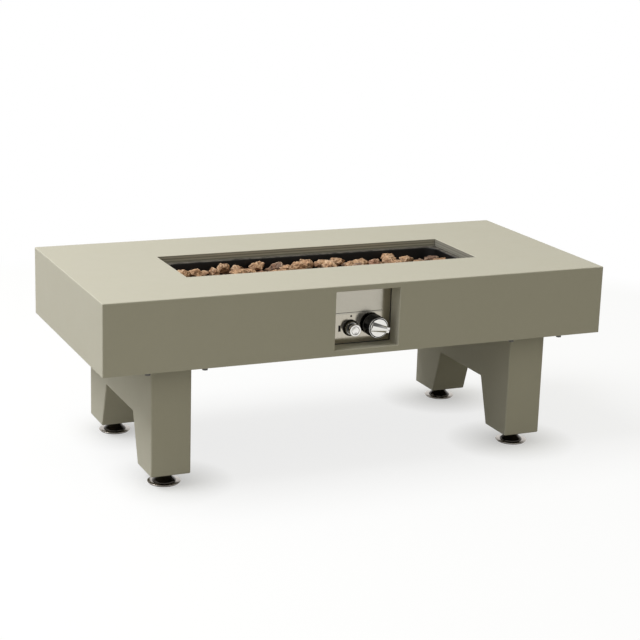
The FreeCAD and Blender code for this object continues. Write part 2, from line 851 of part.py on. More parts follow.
def burner():
    start = (-s.burner_length / 2, 0, BURNER_Z)
    tube = rod("burner_outside", start, "x", s.burner_radius, s.burner_length)
    wall = s.burner_wall
    bore = rod("burner_bore", (wall - s.burner_length / 2, 0, BURNER_Z), "x",
               s.burner_radius - wall, s.burner_length - 2 * wall)
    inlet = rod("burner_inlet", (0, 0, BURNER_Z), "-z", s.riser_radius + s.bolt_fit,
                s.burner_radius + s.bolt_fit)
    count = int((s.burner_length.number / 2 - s.ledge_width.number) / s.burner_port_pitch.number)
    ports = [rod(f"burner_port_{number}", (number * s.burner_port_pitch, 0, BURNER_Z), "z",
                 s.burner_port_radius, s.burner_radius * 2)
             for number in range(-count, count + 1)]
    piece("burner_tube", cut("burner_tube", tube, bore, inlet, group("burner_ports", ports)))

    low = BURNER_Z - s.burner_radius
    brackets = []
    for side in (-1, 1):
        middle = side * s.bracket_spread / 2
        reach = s.burner_radius + s.bracket_sheet
        block = box(f"bracket_block_{side + 2}", (middle - s.bracket_width / 2, -reach, PAN_FLOOR),
                    (middle + s.bracket_width / 2, reach, BURNER_Z))
        cradle = rod(f"bracket_cradle_{side + 2}", (middle - s.bracket_width, 0, BURNER_Z), "x",
                     s.burner_radius, s.bracket_width * 2)
        under = box(f"bracket_under_{side + 2}",
                    (middle - s.bracket_width, -s.burner_radius, PAN_FLOOR - s.bracket_sheet),
                    (middle + s.bracket_width, s.burner_radius, low - s.bracket_sheet))
        brackets.append(cut(f"bracket_{side + 2}", block, cradle, under))
    piece("burner_brackets", group("burner_brackets", brackets))


def gas_feed():
    """The riser under the burner, its elbow, the air mixer and the jet in front of it."""
    bore = s.riser_radius + s.bolt_fit
    outer = s.mixer_radius + s.elbow_wall
    axis = KNOB_Z
    riser_low = axis + s.mixer_radius
    riser_top = BURNER_Z - s.burner_radius + s.burner_wall
    riser = sleeve("riser_tube", (0, 0, riser_low), "z", s.riser_radius,
                   s.riser_radius - s.riser_wall, riser_top - riser_low)
    piece("burner_riser", riser)

    elbow_top = PAN_LOW - s.axial_fit
    upright_part = rod("elbow_upright", (0, 0, axis - outer), "z", outer, elbow_top - axis + outer)
    level_part = rod("elbow_level", (0, 0, axis), "-y", outer - s.bolt_fit * 2, s.elbow_reach)
    down = rod("elbow_down_bore", (0, 0, axis), "z", bore, s.body_thickness)
    along = rod("elbow_level_bore", (0, s.bolt_fit, axis), "-y", s.mixer_radius + s.bolt_fit,
                s.body_thickness)
    piece("burner_elbow", cut("burner_elbow", fused("elbow_block", upright_part, level_part), down,
                              along))

    mixer_back = -s.elbow_reach / 2
    mixer_front = mixer_back - s.mixer_length
    mixer = sleeve("mixer_tube", (0, mixer_front, axis), "y", s.mixer_radius,
                   s.mixer_radius - s.mixer_wall, s.mixer_length)
    window_low = mixer_front + s.jet_length + s.mixer_wall
    window = box("mixer_window", (-s.mixer_radius / 2, window_low, axis - s.mixer_radius * 2),
                 (s.mixer_radius / 2, window_low + s.mixer_radius * 2, axis + s.mixer_radius * 2))
    piece("air_mixer", cut("air_mixer", mixer, window))

    jet = rod("jet_block", (0, mixer_front, axis), "y", s.mixer_radius - s.mixer_wall, s.jet_length)
    feed = rod("jet_feed", (0, mixer_front, axis), "y", s.tube_radius, s.jet_length / 2)
    orifice = rod("jet_orifice", (0, mixer_front, axis), "y", s.jet_bore_radius, s.jet_length)
    piece("jet_holder", cut("jet_holder", jet, feed, orifice))
    return mixer_front


def bent_path(points):
    """Straight runs joined by tangent arcs, each as large as its two runs allow."""
    edges = []
    radii = []
    start = points[0]
    for before, corner, after in zip(points, points[1:], points[2:]):
        come, leave = corner - before, after - corner
        shorter = min(come.Length, leave.Length)
        turn = come.getAngle(leave)
        setback = 0.45 * shorter
        radius = setback / math.tan(turn / 2)
        come.normalize()
        leave.normalize()
        arc_start = corner - come * setback
        arc_end = corner + leave * setback
        bisector = (leave - come).normalize()
        middle = corner + bisector * (radius / math.cos(turn / 2) - radius)
        edges.append(Part.LineSegment(start, arc_start).toShape())
        edges.append(Part.Arc(arc_start, middle, arc_end).toShape())
        radii.append(radius)
        start = arc_end
    edges.append(Part.LineSegment(start, points[-1]).toShape())
    return Part.Wire(edges), radii


def bent_tube(name, points, radius, bore=0.0):
    """A tube or wire along a bent path, checked against its section times its length."""
    path, radii = bent_path(points)
    direction = points[1] - points[0]
    rounds = [radius] if bore == 0.0 else [radius, bore]
    solids = []
    for reach in rounds:
        circle = Part.Wire(Part.Circle(points[0], direction, reach).toShape())
        solids.append(path.makePipeShell([circle], True, False))
    shape = solids[0] if len(solids) == 1 else solids[0].cut(solids[1])
    expected = math.pi * (radius ** 2 - bore ** 2) * path.Length
    print(f"{name}: radii {[round(value, 1) for value in radii]}, "
          f"volume share {shape.Volume / expected:.4f}")
    return shaped(name, shape)


def numbers(point):
    return Vector(*[as_length(part).number for part in point])


def supply_tube(jet_y):
    valve_end = (s.knob_side, VALVE_BACK, KNOB_Z)
    bend_out = (s.knob_side, VALVE_BACK + s.tube_nut_length * 2, KNOB_Z)
    bend_in = (0, jet_y - s.tube_nut_length * 2, KNOB_Z)
    jet_end = (0, jet_y + s.jet_length / 4, KNOB_Z)
    points = [numbers(point) for point in (valve_end, bend_out, bend_in, jet_end)]
    outside = s.tube_radius - s.running_fit / 2
    piece("supply_tube", bent_tube("supply_tube", points, outside.number,
                                   (outside - s.tube_wall).number))
    nuts = [cut("valve_nut", hexagon("valve_nut_hex", valve_end, "y", s.tube_nut_flats,
                                     s.tube_nut_length),
                rod("valve_nut_bore", valve_end, "y", s.tube_radius, s.tube_nut_length)),
            cut("jet_nut", hexagon("jet_nut_hex", (0, jet_y, KNOB_Z), "-y", s.tube_nut_flats,
                                   s.tube_nut_length),
                rod("jet_nut_bore", (0, jet_y, KNOB_Z), "-y", s.tube_radius, s.tube_nut_length))]
    piece("tube_nuts", group("tube_nuts", nuts))


def ignition():
    """The bracket, electrode and thermocouple on the pan's floor."""
    electrode, thermocouple = ignition_places()
    middle = (-s.ignition_offset, -s.ignition_front)
    plate_top = PAN_FLOOR + s.ignition_sheet
    half_x, half_y = s.ignition_plate_length / 2, s.ignition_plate_width / 2
    plate = box("ignition_plate", (middle[0] - half_x, middle[1] - half_y, PAN_FLOOR),
                (middle[0] + half_x, middle[1] + half_y, plate_top))
    holes = [rod("ceramic_hole", (*electrode, PAN_FLOOR), "z", s.ceramic_radius + s.bolt_fit,
                 s.pan_depth),
             rod("thermocouple_hole", (*thermocouple, PAN_FLOOR), "z",
                 s.thermocouple_radius + s.bolt_fit, s.pan_depth)]
    piece("ignition_bracket", cut("ignition_bracket", plate, *holes))

    low = PAN_LOW - s.probe_drop
    ceramic = rod("ceramic_rod", (*electrode, low), "z", s.ceramic_radius,
                  PAN_FLOOR + s.ceramic_rise - low)
    core = rod("ceramic_bore", (*electrode, low), "z", s.electrode_radius, s.body_thickness)
    piece("electrode_ceramic", cut("electrode_ceramic", ceramic, core))
    wire = rod("electrode_rod", (*electrode, low), "z", s.electrode_radius,
               PAN_FLOOR + s.ceramic_rise + s.electrode_rise - low)
    piece("spark_electrode", wire)
    probe = rod("thermocouple_rod", (*thermocouple, low), "z", s.thermocouple_radius,
                PAN_FLOOR + s.thermocouple_rise - low)
    piece("thermocouple", probe)


def leads(jet_y):
    """The spark lead and the thermocouple lead, along their real routes under the pan."""
    electrode, thermocouple = ignition_places()
    low = PAN_LOW - s.probe_drop
    igniter_end = PANEL_BACK + s.igniter_tail
    spark_route = [
        (s.igniter_side, igniter_end, IGNITER_Z),
        (s.igniter_side, igniter_end + s.lead_start, IGNITER_Z),
        (s.igniter_side - s.lead_bow, jet_y - s.lead_step, IGNITER_Z - s.lead_sag),
        (s.igniter_side - s.lead_bow * 2.5, jet_y + s.lead_start, IGNITER_Z - s.lead_sag * 1.5),
        (electrode[0], electrode[1], low - s.lead_start),
        (electrode[0], electrode[1], low),
    ]
    piece("spark_lead", bent_tube("spark_lead", [numbers(point) for point in spark_route],
                                  s.spark_lead_radius.number))
    port_x, port_z = valve_port()
    heat_route = [
        (port_x, VALVE_BACK, port_z),
        (port_x, VALVE_BACK + s.lead_start, port_z),
        (port_x - s.lead_bow, jet_y - s.lead_step, port_z - s.lead_sag),
        (port_x - s.lead_bow * 3, jet_y + s.lead_start, port_z - s.lead_sag * 1.2),
        (thermocouple[0], thermocouple[1], low - s.lead_start),
        (thermocouple[0], thermocouple[1], low),
    ]
    piece("thermocouple_lead",
          bent_tube("thermocouple_lead", [numbers(point) for point in heat_route],
                    s.thermocouple_lead_radius.number))


def valve_port():
    """The X and Z of the thermocouple's port in the valve's back."""
    corner = s.valve_side / 2 - s.stem_radius - s.thermocouple_lead_radius
    return s.knob_side - corner, KNOB_Z - corner


def heat_shield():
    back = -(s.opening_width / 2 + s.collar_wall)
    face = back - s.shield_sheet
    sheet = box("shield_sheet_box", (-s.shield_length / 2, face, SKIN_LOW - s.shield_drop),
                (s.shield_length / 2, back, SKIN_LOW - s.axial_fit))
    holes = [rod(f"shield_hole_{number}", (x, face, z), "y", s.shield_screw_radius + s.bolt_fit,
                 s.shield_sheet)
             for number, (x, z) in enumerate(shield_screw_places(), 1)]
    piece("heat_shield", cut("heat_shield", sheet, *holes))
    length = s.shield_sheet + s.collar_wall - s.opening_edge * 2
    return [pan_screw(f"shield_screw_{number}", (x, face, z), "y", s.shield_screw_radius, length)
            for number, (x, z) in enumerate(shield_screw_places(), 1)]


def pan_screw(name, point, axis, radius, length):
    back = {"y": "-y", "-y": "y"}[axis]
    return fused(name, rod(f"{name}_shank", point, axis, radius, length),
                 cone(f"{name}_head", point, back, (radius * 2, radius * 1.5), radius))


# control panel


def control_panel():
    body = DOC.addObject("PartDesign::Body", "control_panel_solid")
    half = s.recess_width / 2 + s.panel_side_lap
    low = RECESS_LOW - s.panel_foot_lap
    high = RECESS_LOW + s.recess_height + s.panel_head_lap
    sheet = sketch_on(body, "panel_outline", "XZ_Plane", -PANEL_Y)
    rectangle(sheet, (-half, low), (half, high))
    for centre in panel_screw_places():
        hole(sheet, centre, s.panel_screw_radius + s.bolt_fit)
    hole(sheet, (s.knob_side, KNOB_Z), s.stem_radius + s.bolt_fit * 2)
    hole(sheet, (s.igniter_side, IGNITER_Z), s.igniter_barrel_radius + s.bolt_fit)
    pad(body, "panel_sheet_pad", sheet, s.panel_sheet, backward=True)
    piece("control_panel", body)

    left = s.axial_fit - s.recess_width / 2
    top = RECESS_LOW + s.recess_height - s.axial_fit
    label = box("label_plate", (left, PANEL_Y - s.label_sheet, top - s.label_height),
                (left + s.label_width, PANEL_Y, top))
    piece("panel_label", label)
    return [pan_screw(f"panel_screw_{number}", (x, PANEL_BACK, z), "-y", s.panel_screw_radius,
                      s.panel_sheet + s.recess_wall * 0.9)
            for number, (x, z) in enumerate(panel_screw_places(), 1)]


# gas valve and knob


def gas_valve():
    x, z = s.knob_side, KNOB_Z
    half = s.valve_side / 2
    bore = s.plug_radius + s.running_fit
    block = box("valve_block", (x - half, VALVE_Y, z - half), (x + half, VALVE_BACK, z + half))
    chamber = rod("valve_chamber", (x, VALVE_Y, z), "y", bore, s.plug_length + 2 * s.axial_fit)
    port_y = VALVE_Y + s.plug_length - s.plug_port_radius * 2
    inlet_way = rod("valve_inlet_way", (x, port_y, z - half), "z", s.plug_port_radius, half)
    outlet_way = rod("valve_outlet_way", (x, VALVE_Y, z), "y", s.plug_port_radius, s.valve_length)
    piece("valve_body", cut("valve_body", block, chamber, inlet_way, outlet_way))

    flange = rod("bonnet_flange", (x, PANEL_BACK, z), "y", s.bonnet_flange_radius, s.bonnet_flange)
    neck = rod("bonnet_neck", (x, PANEL_BACK, z), "y", s.bonnet_radius, s.bonnet_length)
    way = rod("bonnet_way", (x, PANEL_BACK, z), "y", s.stem_radius + s.running_fit, s.bonnet_length)
    piece("valve_bonnet", cut("valve_bonnet", fused("bonnet_turned", flange, neck), way))

    plug_y = VALVE_Y + s.axial_fit
    plug = rod("plug_outside", (x, plug_y, z), "y", s.plug_radius, s.plug_length)
    socket = rod("plug_socket_bore", (x, plug_y, z), "y", s.stem_radius + s.running_fit,
                 s.plug_socket)
    cross = rod("plug_cross_port", (x, port_y, z - half), "z", s.plug_port_radius, half)
    piece("valve_plug", cut("valve_plug", plug, socket, cross))

    knob_back = PANEL_Y - s.knob_gap
    stem_front = knob_back - s.stem_bite
    stem_back = VALVE_Y + s.plug_socket - s.stem_tail + s.knob_travel * 2
    stem = rod("stem_rod", (x, stem_front, z), "y", s.stem_radius, stem_back - stem_front)
    piece("valve_stem", stem)

    spring_end = plug_y + s.plug_socket
    spring = coil((x, stem_back, z), s.stem_radius - s.stem_spring_wire - s.axial_fit,
                  s.stem_spring_wire, spring_end - stem_back)
    piece("stem_spring", shaped("stem_spring", spring))

    inlet_y = port_y
    hex_top = z - half
    hex_part = hexagon("inlet_hex", (x, inlet_y, hex_top), "-z", s.inlet_hex_flats,
                       s.inlet_hex_length)
    spigot = rod("inlet_spigot", (x, inlet_y, hex_top), "-z", s.inlet_radius,
                 s.inlet_hex_length + s.inlet_length)
    bore_way = rod("inlet_bore", (x, inlet_y, hex_top), "-z", s.inlet_bore_radius,
                   s.body_thickness)
    piece("gas_inlet", cut("gas_inlet", fused("inlet_turned", hex_part, spigot), bore_way))


def coil(start, radius, wire, room):
    """A compression spring along +Y whose end turns lie just inside its room."""
    x, y, z = numbers(start)
    gap = s.axial_fit.number
    length = room.number - 2 * gap - 2 * wire.number
    first = y + gap + wire.number
    reach = radius.number
    quarters = SPRING_TURNS * 4

    def at(step):
        angle = math.pi / 2 * step
        return Vector(x + reach * math.cos(angle), first + length * step / quarters,
                      z + reach * math.sin(angle))

    arcs = [Part.Arc(at(step), at(step + 0.5), at(step + 1)).toShape() for step in range(quarters)]
    path = Part.Wire(arcs)
    circle = Part.Circle(at(0), arcs[0].tangentAt(arcs[0].FirstParameter), wire.number)
    return path.makePipeShell([Part.Wire(circle.toShape())], True, False)


def gas_knob():
    x, z = s.knob_side, KNOB_Z
    back = PANEL_Y - s.knob_gap
    drum = rod("knob_drum", (x, back, z), "-y", s.knob_radius, s.knob_length)
    hollow = sleeve("knob_hollow", (x, back, z), "-y", s.knob_hollow_radius, s.knob_hub_radius,
                    s.knob_hollow_depth)
    bore = rod("knob_bore", (x, back, z), "-y", s.stem_radius + s.running_fit,
               s.stem_bite + s.axial_fit)
    turned = cut("knob_turned", drum, hollow, bore)
    DOC.recompute()
    front_y = (back - s.knob_length).number
    knob = rounded("knob_rounded", turned, s.knob_edge, lambda edge: flat_at(edge, front_y))
    piece("gas_knob", knob)


def flat_at(edge, y):
    around = edge.BoundBox
    return abs(around.YMin - y) < 1e-4 and abs(around.YMax - y) < 1e-4


def rounded(name, base, radius, chosen):
    """Fillet chosen edges of a finished shape, tied to the size when the part is built."""
    edges = [number for number, edge in enumerate(base.Shape.Edges, 1) if chosen(edge)]
    fillet = DOC.addObject("Part::Fillet", name)
    fillet.Base = base
    fillet.Edges = [(number, radius.number, radius.number) for number in edges]
    return fillet


def knob_face():
    """The chrome face: a disc with a ring groove and a tapered grip whose tip is the pointer."""
    body = DOC.addObject("PartDesign::Body", "knob_face_solid")
    disc = sketch_on(body, "face_outline", "XZ_Plane", as_length(0))
    hole(disc, None, s.knob_face_radius)
    pad(body, "face_disc", disc, s.knob_face_sheet)

    groove = sketch_on(body, "groove_outline", "XZ_Plane", s.knob_face_sheet)
    hole(groove, None, s.knob_groove_radius)
    hole(groove, None, s.knob_groove_radius - s.knob_groove_width)
    pocket(body, "groove", groove, s.knob_groove_depth)

    grip = sketch_on(body, "grip_outline", "XZ_Plane", s.knob_face_sheet - s.knob_groove_depth)
    tail, tip = s.grip_tail_width / 2, s.grip_tip_width / 2
    tail_x = s.grip_edge - s.knob_groove_radius
    outline(grip, [(tail_x, -tail), (s.grip_tip_reach, -tip), (s.grip_tip_reach, tip),
                   (tail_x, tail)])
    pad(body, "grip", grip, s.grip_height + s.knob_groove_depth)
    face_y = -(s.knob_face_sheet + s.grip_height).number
    round_edges(body, "grip_edges", s.grip_edge, lambda edge: flat_at(edge, face_y))

    put(body, (s.knob_side, PANEL_Y - s.knob_gap - s.knob_length, KNOB_Z))
    turn = FreeCAD.Rotation(Vector(0, 1, 0), s.knob_pointer_angle.number)
    body.Placement = FreeCAD.Placement(body.Placement.Base, turn)
    return piece("knob_face", body)


# igniter


def igniter():
    x, z = s.igniter_side, IGNITER_Z
    barrel = s.igniter_barrel_radius
    fit = s.bolt_fit
    bezel = cone("bezel_disc", (x, PANEL_Y, z), "-y", (s.bezel_radius, s.bezel_radius - s.bezel_edge),
                 s.bezel_depth)
    front = rod("igniter_front", (x, PANEL_Y, z), "-y", barrel, s.igniter_reach)
    tail = rod("igniter_tail_rod", (x, PANEL_Y, z), "y", barrel, s.panel_sheet + s.igniter_tail)
    well = rod("button_well", (x, PANEL_Y - s.igniter_reach, z), "y", s.button_well_radius,
               s.button_well_depth)
    guide = rod("stalk_guide", (x, PANEL_Y - s.igniter_reach, z), "y",
                s.button_stalk_radius + s.running_fit * 2, s.igniter_reach)
    chamber_y = PANEL_BACK + s.axial_fit
    chamber = rod("battery_chamber", (x, chamber_y, z), "y", s.battery_radius + fit,
                  s.battery_length + 2 * s.axial_fit)
    body = fused("igniter_turned", bezel, front, tail)
    piece("igniter_body", cut("igniter_body", body, well, guide, chamber))

    ring_y = PANEL_Y - s.bezel_depth
    ring = cone("bevel_cone", (x, ring_y, z), "-y",
                (s.bevel_radius, barrel + s.panel_sheet), s.bevel_depth)
    piece("igniter_ring", cut("igniter_ring", ring, rod("bevel_bore", (x, ring_y, z), "-y", barrel,
                                                        s.bevel_depth)))

    nut = hexagon("igniter_nut_hex", (x, PANEL_BACK, z), "y", s.igniter_nut_flats,
                  s.igniter_nut_length)
    piece("igniter_nut", cut("igniter_nut", nut, rod("igniter_nut_bore", (x, PANEL_BACK, z), "y",
                                                     barrel, s.igniter_nut_length)))

    cap_front = PANEL_Y - s.igniter_reach - s.cap_length + s.cap_lap
    cap = cone("cap_disc", (x, cap_front + s.cap_length, z), "-y",
               (s.cap_radius, s.cap_radius - s.cap_edge), s.cap_length)
    lap = rod("cap_lap_bore", (x, cap_front + s.cap_length, z), "-y", barrel, s.cap_lap)
    mouth = rod("cap_mouth", (x, cap_front, z), "y", s.button_well_radius, s.cap_length)
    piece("igniter_cap", cut("igniter_cap", cap, lap, mouth))

    button_front = cap_front + s.button_recess
    disc = rod("button_disc", (x, button_front, z), "y", s.button_radius, s.button_length)
    stalk_back = PANEL_Y - s.button_travel - s.axial_fit * 2
    stalk = rod("button_stalk", (x, button_front, z), "y", s.button_stalk_radius,
                stalk_back - button_front)
    piece("igniter_button", fused("igniter_button", disc, stalk))

    spring_start = button_front + s.button_length
    spring_end = PANEL_Y - s.igniter_reach + s.button_well_depth
    spring = coil((x, spring_start, z), s.button_radius - s.button_spring_wire * 2,
                  s.button_spring_wire, spring_end - spring_start)
    piece("igniter_spring", shaped("igniter_spring", spring))

    cell = rod("battery_cell", (x, chamber_y + s.axial_fit, z), "y", s.battery_radius,
               s.battery_length)
    piece("igniter_battery", cell)


# lava rocks, dropped one by one into the pan


class Rock:
    """A convex rough stone as corner points, triangles that face outward, and edges."""

    def __init__(self, points, triangles):
        self.points = points
        self.triangles = triangles
        pairs = {tuple(sorted(pair)) for face in triangles
                 for pair in zip(face, face[1:] + face[:1])}
        self.edges = sorted(pairs)
        self.measure()

    def measure(self):
        self.low = [min(point[axis] for point in self.points) for axis in range(3)]
        self.high = [max(point[axis] for point in self.points) for axis in range(3)]

    def move(self, step):
        self.points = [tuple(a + b for a, b in zip(point, step)) for point in self.points]
        self.measure()

    def solid(self):
        corners = [Vector(*point) for point in self.points]
        faces = [Part.Face(Part.makePolygon([corners[a], corners[b], corners[c], corners[a]]))
                 for a, b, c in self.triangles]
        return Part.Solid(Part.Shell(faces))


def minus(a, b):
    return (a[0] - b[0], a[1] - b[1], a[2] - b[2])


def crossed(a, b):
    return (a[1] * b[2] - a[2] * b[1], a[2] * b[0] - a[0] * b[2], a[0] * b[1] - a[1] * b[0])


def dotted(a, b):
    return a[0] * b[0] + a[1] * b[1] + a[2] * b[2]


def wrapped(points):
    """The convex hull of a few points in general position, as outward triangles."""
    triangles = []
    for a, b, c in itertools.combinations(range(len(points)), 3):
        normal = crossed(minus(points[b], points[a]), minus(points[c], points[a]))
        sides = [dotted(normal, minus(point, points[a]))
                 for number, point in enumerate(points) if number not in (a, b, c)]
        if all(side < 0 for side in sides):
            triangles.append((a, b, c))
        elif all(side > 0 for side in sides):
            triangles.append((a, c, b))
    used = sorted({number for face in triangles for number in face})
    rename = {number: place for place, number in enumerate(used)}
    return Rock([points[number] for number in used],
                [tuple(rename[number] for number in face) for face in triangles])


def rough_stone(dice, half_length, half_height):
    """Corners spread over a ball by the golden angle, then squashed and roughened."""
    spin = dice.uniform(0, 2 * math.pi)
    long_way = half_length * dice.uniform(0.62, 1)
    short_way = long_way * dice.uniform(0.66, 0.95)
    tall = half_height * dice.uniform(0.72, 1)
    points = []
    for number in range(ROCK_CORNERS):
        height = 1 - (2 * number + 1) / ROCK_CORNERS
        around = number * GOLDEN_ANGLE + dice.uniform(-0.3, 0.3)
        reach = math.sqrt(1 - height * height)
        rough = dice.uniform(0.84, 1)
        x = reach * math.cos(around) * long_way * rough
        y = reach * math.sin(around) * short_way * rough
        points.append((x * math.cos(spin) - y * math.sin(spin),
                       x * math.sin(spin) + y * math.cos(spin),
                       height * tall * rough))
    return wrapped(points)


def rock_size(share):
    """Half sizes of the next stone: large at first, ever smaller in mid pile, large on top."""
    start, end = SMALL_ROCKS
    shrink = (share - start) / (end - start) if start < share < end else 0
    return [large + (small - large) * shrink for large, small in
            ((s.rock_half_length.number, s.small_rock_half_length.number),
             (s.rock_half_height.number, s.small_rock_half_height.number))]


def as_rock(low, high):
    """A box with slightly drawn-in top corners, used as something that rocks land on."""
    draw = 0.01
    points = [(x + draw * lift * (1 if x == low[0] else -1), y, z)
              for lift, z in ((0, low[2]), (1, high[2])) for x in (low[0], high[0])
              for y in (low[1], high[1])]
    sides = [(0, 1, 3, 2), (4, 6, 7, 5), (0, 4, 5, 1), (2, 3, 7, 6), (0, 2, 6, 4), (1, 5, 7, 3)]
    return Rock(points, [face for a, b, c, d in sides for face in ((a, b, c), (a, c, d))])


def lying_prism(radius, half_length, height):
    """A prism along X that just holds a lying tube, used as something that rocks land on."""
    count = PRISM_SIDES
    reach = radius / math.cos(math.pi / count)
    ring = [(reach * math.cos(2 * math.pi * (number + 0.5) / count),
             height + reach * math.sin(2 * math.pi * (number + 0.5) / count))
            for number in range(count)]
    points = [(x, y, z) for x in (-half_length, half_length) for y, z in ring]
    triangles = []
    for a in range(count):
        b = (a + 1) % count
        triangles += [(a, b, a + count), (b, b + count, a + count)]
    return Rock(points, triangles)


def height_on(rock, x, y, upper):
    """The height of a rock's top or underside over one place, or None beside it."""
    for a, b, c in rock.triangles:
        p, q, r = rock.points[a], rock.points[b], rock.points[c]
        area = (q[0] - p[0]) * (r[1] - p[1]) - (q[1] - p[1]) * (r[0] - p[0])
        if (area > 1e-9) != upper or abs(area) < 1e-9:
            continue
        first = ((q[0] - x) * (r[1] - y) - (q[1] - y) * (r[0] - x)) / area
        second = ((r[0] - x) * (p[1] - y) - (r[1] - y) * (p[0] - x)) / area
        third = 1 - first - second
        if first >= 0 and second >= 0 and third >= 0:
            return first * p[2] + second * q[2] + third * r[2]
    return None


def edge_drop(upper, lower, best):
    """The least fall before an edge of the upper rock meets an edge of the lower one."""
    for a, b in upper.edges:
        p, q = upper.points[a], upper.points[b]
        for c, d in lower.edges:
            u, v = lower.points[c], lower.points[d]
            if max(p[0], q[0]) < min(u[0], v[0]) or max(u[0], v[0]) < min(p[0], q[0]):
                continue
            if max(p[1], q[1]) < min(u[1], v[1]) or max(u[1], v[1]) < min(p[1], q[1]):
                continue
            across = (q[0] - p[0]) * (v[1] - u[1]) - (q[1] - p[1]) * (v[0] - u[0])
            if abs(across) < 1e-12:
                continue
            along = ((u[0] - p[0]) * (v[1] - u[1]) - (u[1] - p[1]) * (v[0] - u[0])) / across
            under = ((u[0] - p[0]) * (q[1] - p[1]) - (u[1] - p[1]) * (q[0] - p[0])) / across
            if 0 <= along <= 1 and 0 <= under <= 1:
                fall = p[2] + along * (q[2] - p[2]) - u[2] - under * (v[2] - u[2])
                best = min(best, fall)
    return best


def drop(rock, below, floor, gap):
    """How far a rock falls before it lies the gap above the floor or another rock."""
    best = rock.low[2] - floor
    for other in below:
        if any(rock.low[axis] > other.high[axis] or other.low[axis] > rock.high[axis]
               for axis in (0, 1)):
            continue
        for x, y, z in rock.points:
            height = height_on(other, x, y, True)
            if height is not None:
                best = min(best, z - height)
        for x, y, z in other.points:
            height = height_on(rock, x, y, False)
            if height is not None:
                best = min(best, height - z)
        best = edge_drop(rock, other, best)
    return best - gap


def dropped(rock, spot, height, below, floor, gap):
    """A copy of a rock, let fall over a spot until it lies on something."""
    lying = Rock(rock.points, rock.triangles)
    lying.move((*spot, height))
    lying.move((0, 0, -drop(lying, below, floor, gap)))
    return lying


def resting_guess(x, y, reach, rocks):
    """A quick guess of how high a rock would rest over a place."""
    guess = 0.0
    for other in rocks:
        middle_x = (other.low[0] + other.high[0]) / 2
        middle_y = (other.low[1] + other.high[1]) / 2
        wide = reach + (other.high[0] - other.low[0]) / 2
        away = math.hypot(x - middle_x, y - middle_y) / wide
        if away < 0.8:
            guess = max(guess, other.high[2] - away * 12)
    return guess


def rock_seats(floor):
    """The pieces in the pan that rocks land on, as simple convex bodies."""
    seats = [lying_prism(s.burner_radius.number, s.burner_length.number / 2, BURNER_Z.number)]
    bracket_x = s.bracket_width.number / 2
    bracket_y = (s.burner_radius + s.bracket_sheet).number
    for side in (-1, 1):
        middle = side * s.bracket_spread.number / 2
        seats.append(as_rock((middle - bracket_x, -bracket_y, floor),
                             (middle + bracket_x, bracket_y, BURNER_Z.number)))
    electrode, thermocouple = ignition_places()
    probes = [(electrode, s.ceramic_radius, s.ceramic_rise),
              (electrode, s.electrode_radius, s.ceramic_rise + s.electrode_rise),
              (thermocouple, s.thermocouple_radius, s.thermocouple_rise)]
    for (x, y), radius, rise in probes:
        seats.append(as_rock((x.number - radius.number, y.number - radius.number, floor),
                             (x.number + radius.number, y.number + radius.number,
                              (PAN_FLOOR + rise).number)))
    plate_x, plate_y = -s.ignition_offset.number, -s.ignition_front.number
    half_x, half_y = s.ignition_plate_length.number / 2, s.ignition_plate_width.number / 2
    seats.append(as_rock((plate_x - half_x, plate_y - half_y, floor),
                         (plate_x + half_x, plate_y + half_y,
                          (PAN_FLOOR + s.ignition_sheet).number)))
    return seats


def lava_rocks():
    dice = random.Random(3)
    floor = PAN_FLOOR.number
    gap = s.rock_gap.number
    limit = TOP.number - s.rock_headroom.number
    half_x, half_y = WELL_LENGTH.number / 2 - gap, WELL_WIDTH.number / 2 - gap
    burner_reach = s.burner_radius.number
    fixed = rock_seats(floor)
    pitch = 2 * s.rock_half_length.number
    along_burner = int((half_x - s.rock_half_length.number) / pitch)
    row = [number * pitch for number in range(-along_burner, along_burner + 1)]
    rocks = []
    for attempt in range(ROCK_TRIES):
        rock = rough_stone(dice, *rock_size(attempt / ROCK_TRIES))
        room_x, room_y = half_x - rock.high[0], half_y - rock.high[1]
        back_x, back_y = -half_x - rock.low[0], -half_y - rock.low[1]
        reach = (rock.high[0] - rock.low[0]) / 2
        if attempt < len(row):
            spots = [(row[attempt], dice.uniform(-burner_reach, burner_reach))]
        else:
            spots = [(dice.uniform(back_x, room_x), dice.uniform(back_y, room_y))
                     for _ in range(ROCK_SPOTS)]
        spots = [spot for spot in spots if clears_corner(rock, spot, half_x, half_y)]
        if not spots:
            continue
        spots.sort(key=lambda spot: resting_guess(*spot, reach, rocks))
        lying = min((dropped(rock, spot, limit + s.pan_depth.number, fixed + rocks, floor, gap)
                     for spot in spots[:ROCK_DROPS]), key=lambda stone: stone.high[2])
        if lying.high[2] <= limit:
            rocks.append(lying)
    print(f"lava rocks: {len(rocks)}")
    third = WELL_LENGTH.number / 6
    parts = {"lava_rocks_left": [], "lava_rocks_middle": [], "lava_rocks_right": []}
    for rock in rocks:
        middle = (rock.low[0] + rock.high[0]) / 2
        name = "left" if middle < -third else "right" if middle > third else "middle"
        parts[f"lava_rocks_{name}"].append(rock.solid())
    for name, solids in parts.items():
        piece(name, shaped(name, Part.makeCompound(solids)))


def clears_corner(rock, spot, half_x, half_y):
    """Whether a rock at a spot stays inside the well's rounded corners."""
    radius = s.pan_corner.number
    for x, y, _ in rock.points:
        past_x = abs(x + spot[0]) - (half_x - radius)
        past_y = abs(y + spot[1]) - (half_y - radius)
        if past_x > 0 and past_y > 0 and math.hypot(past_x, past_y) > radius:
            return False
    return True


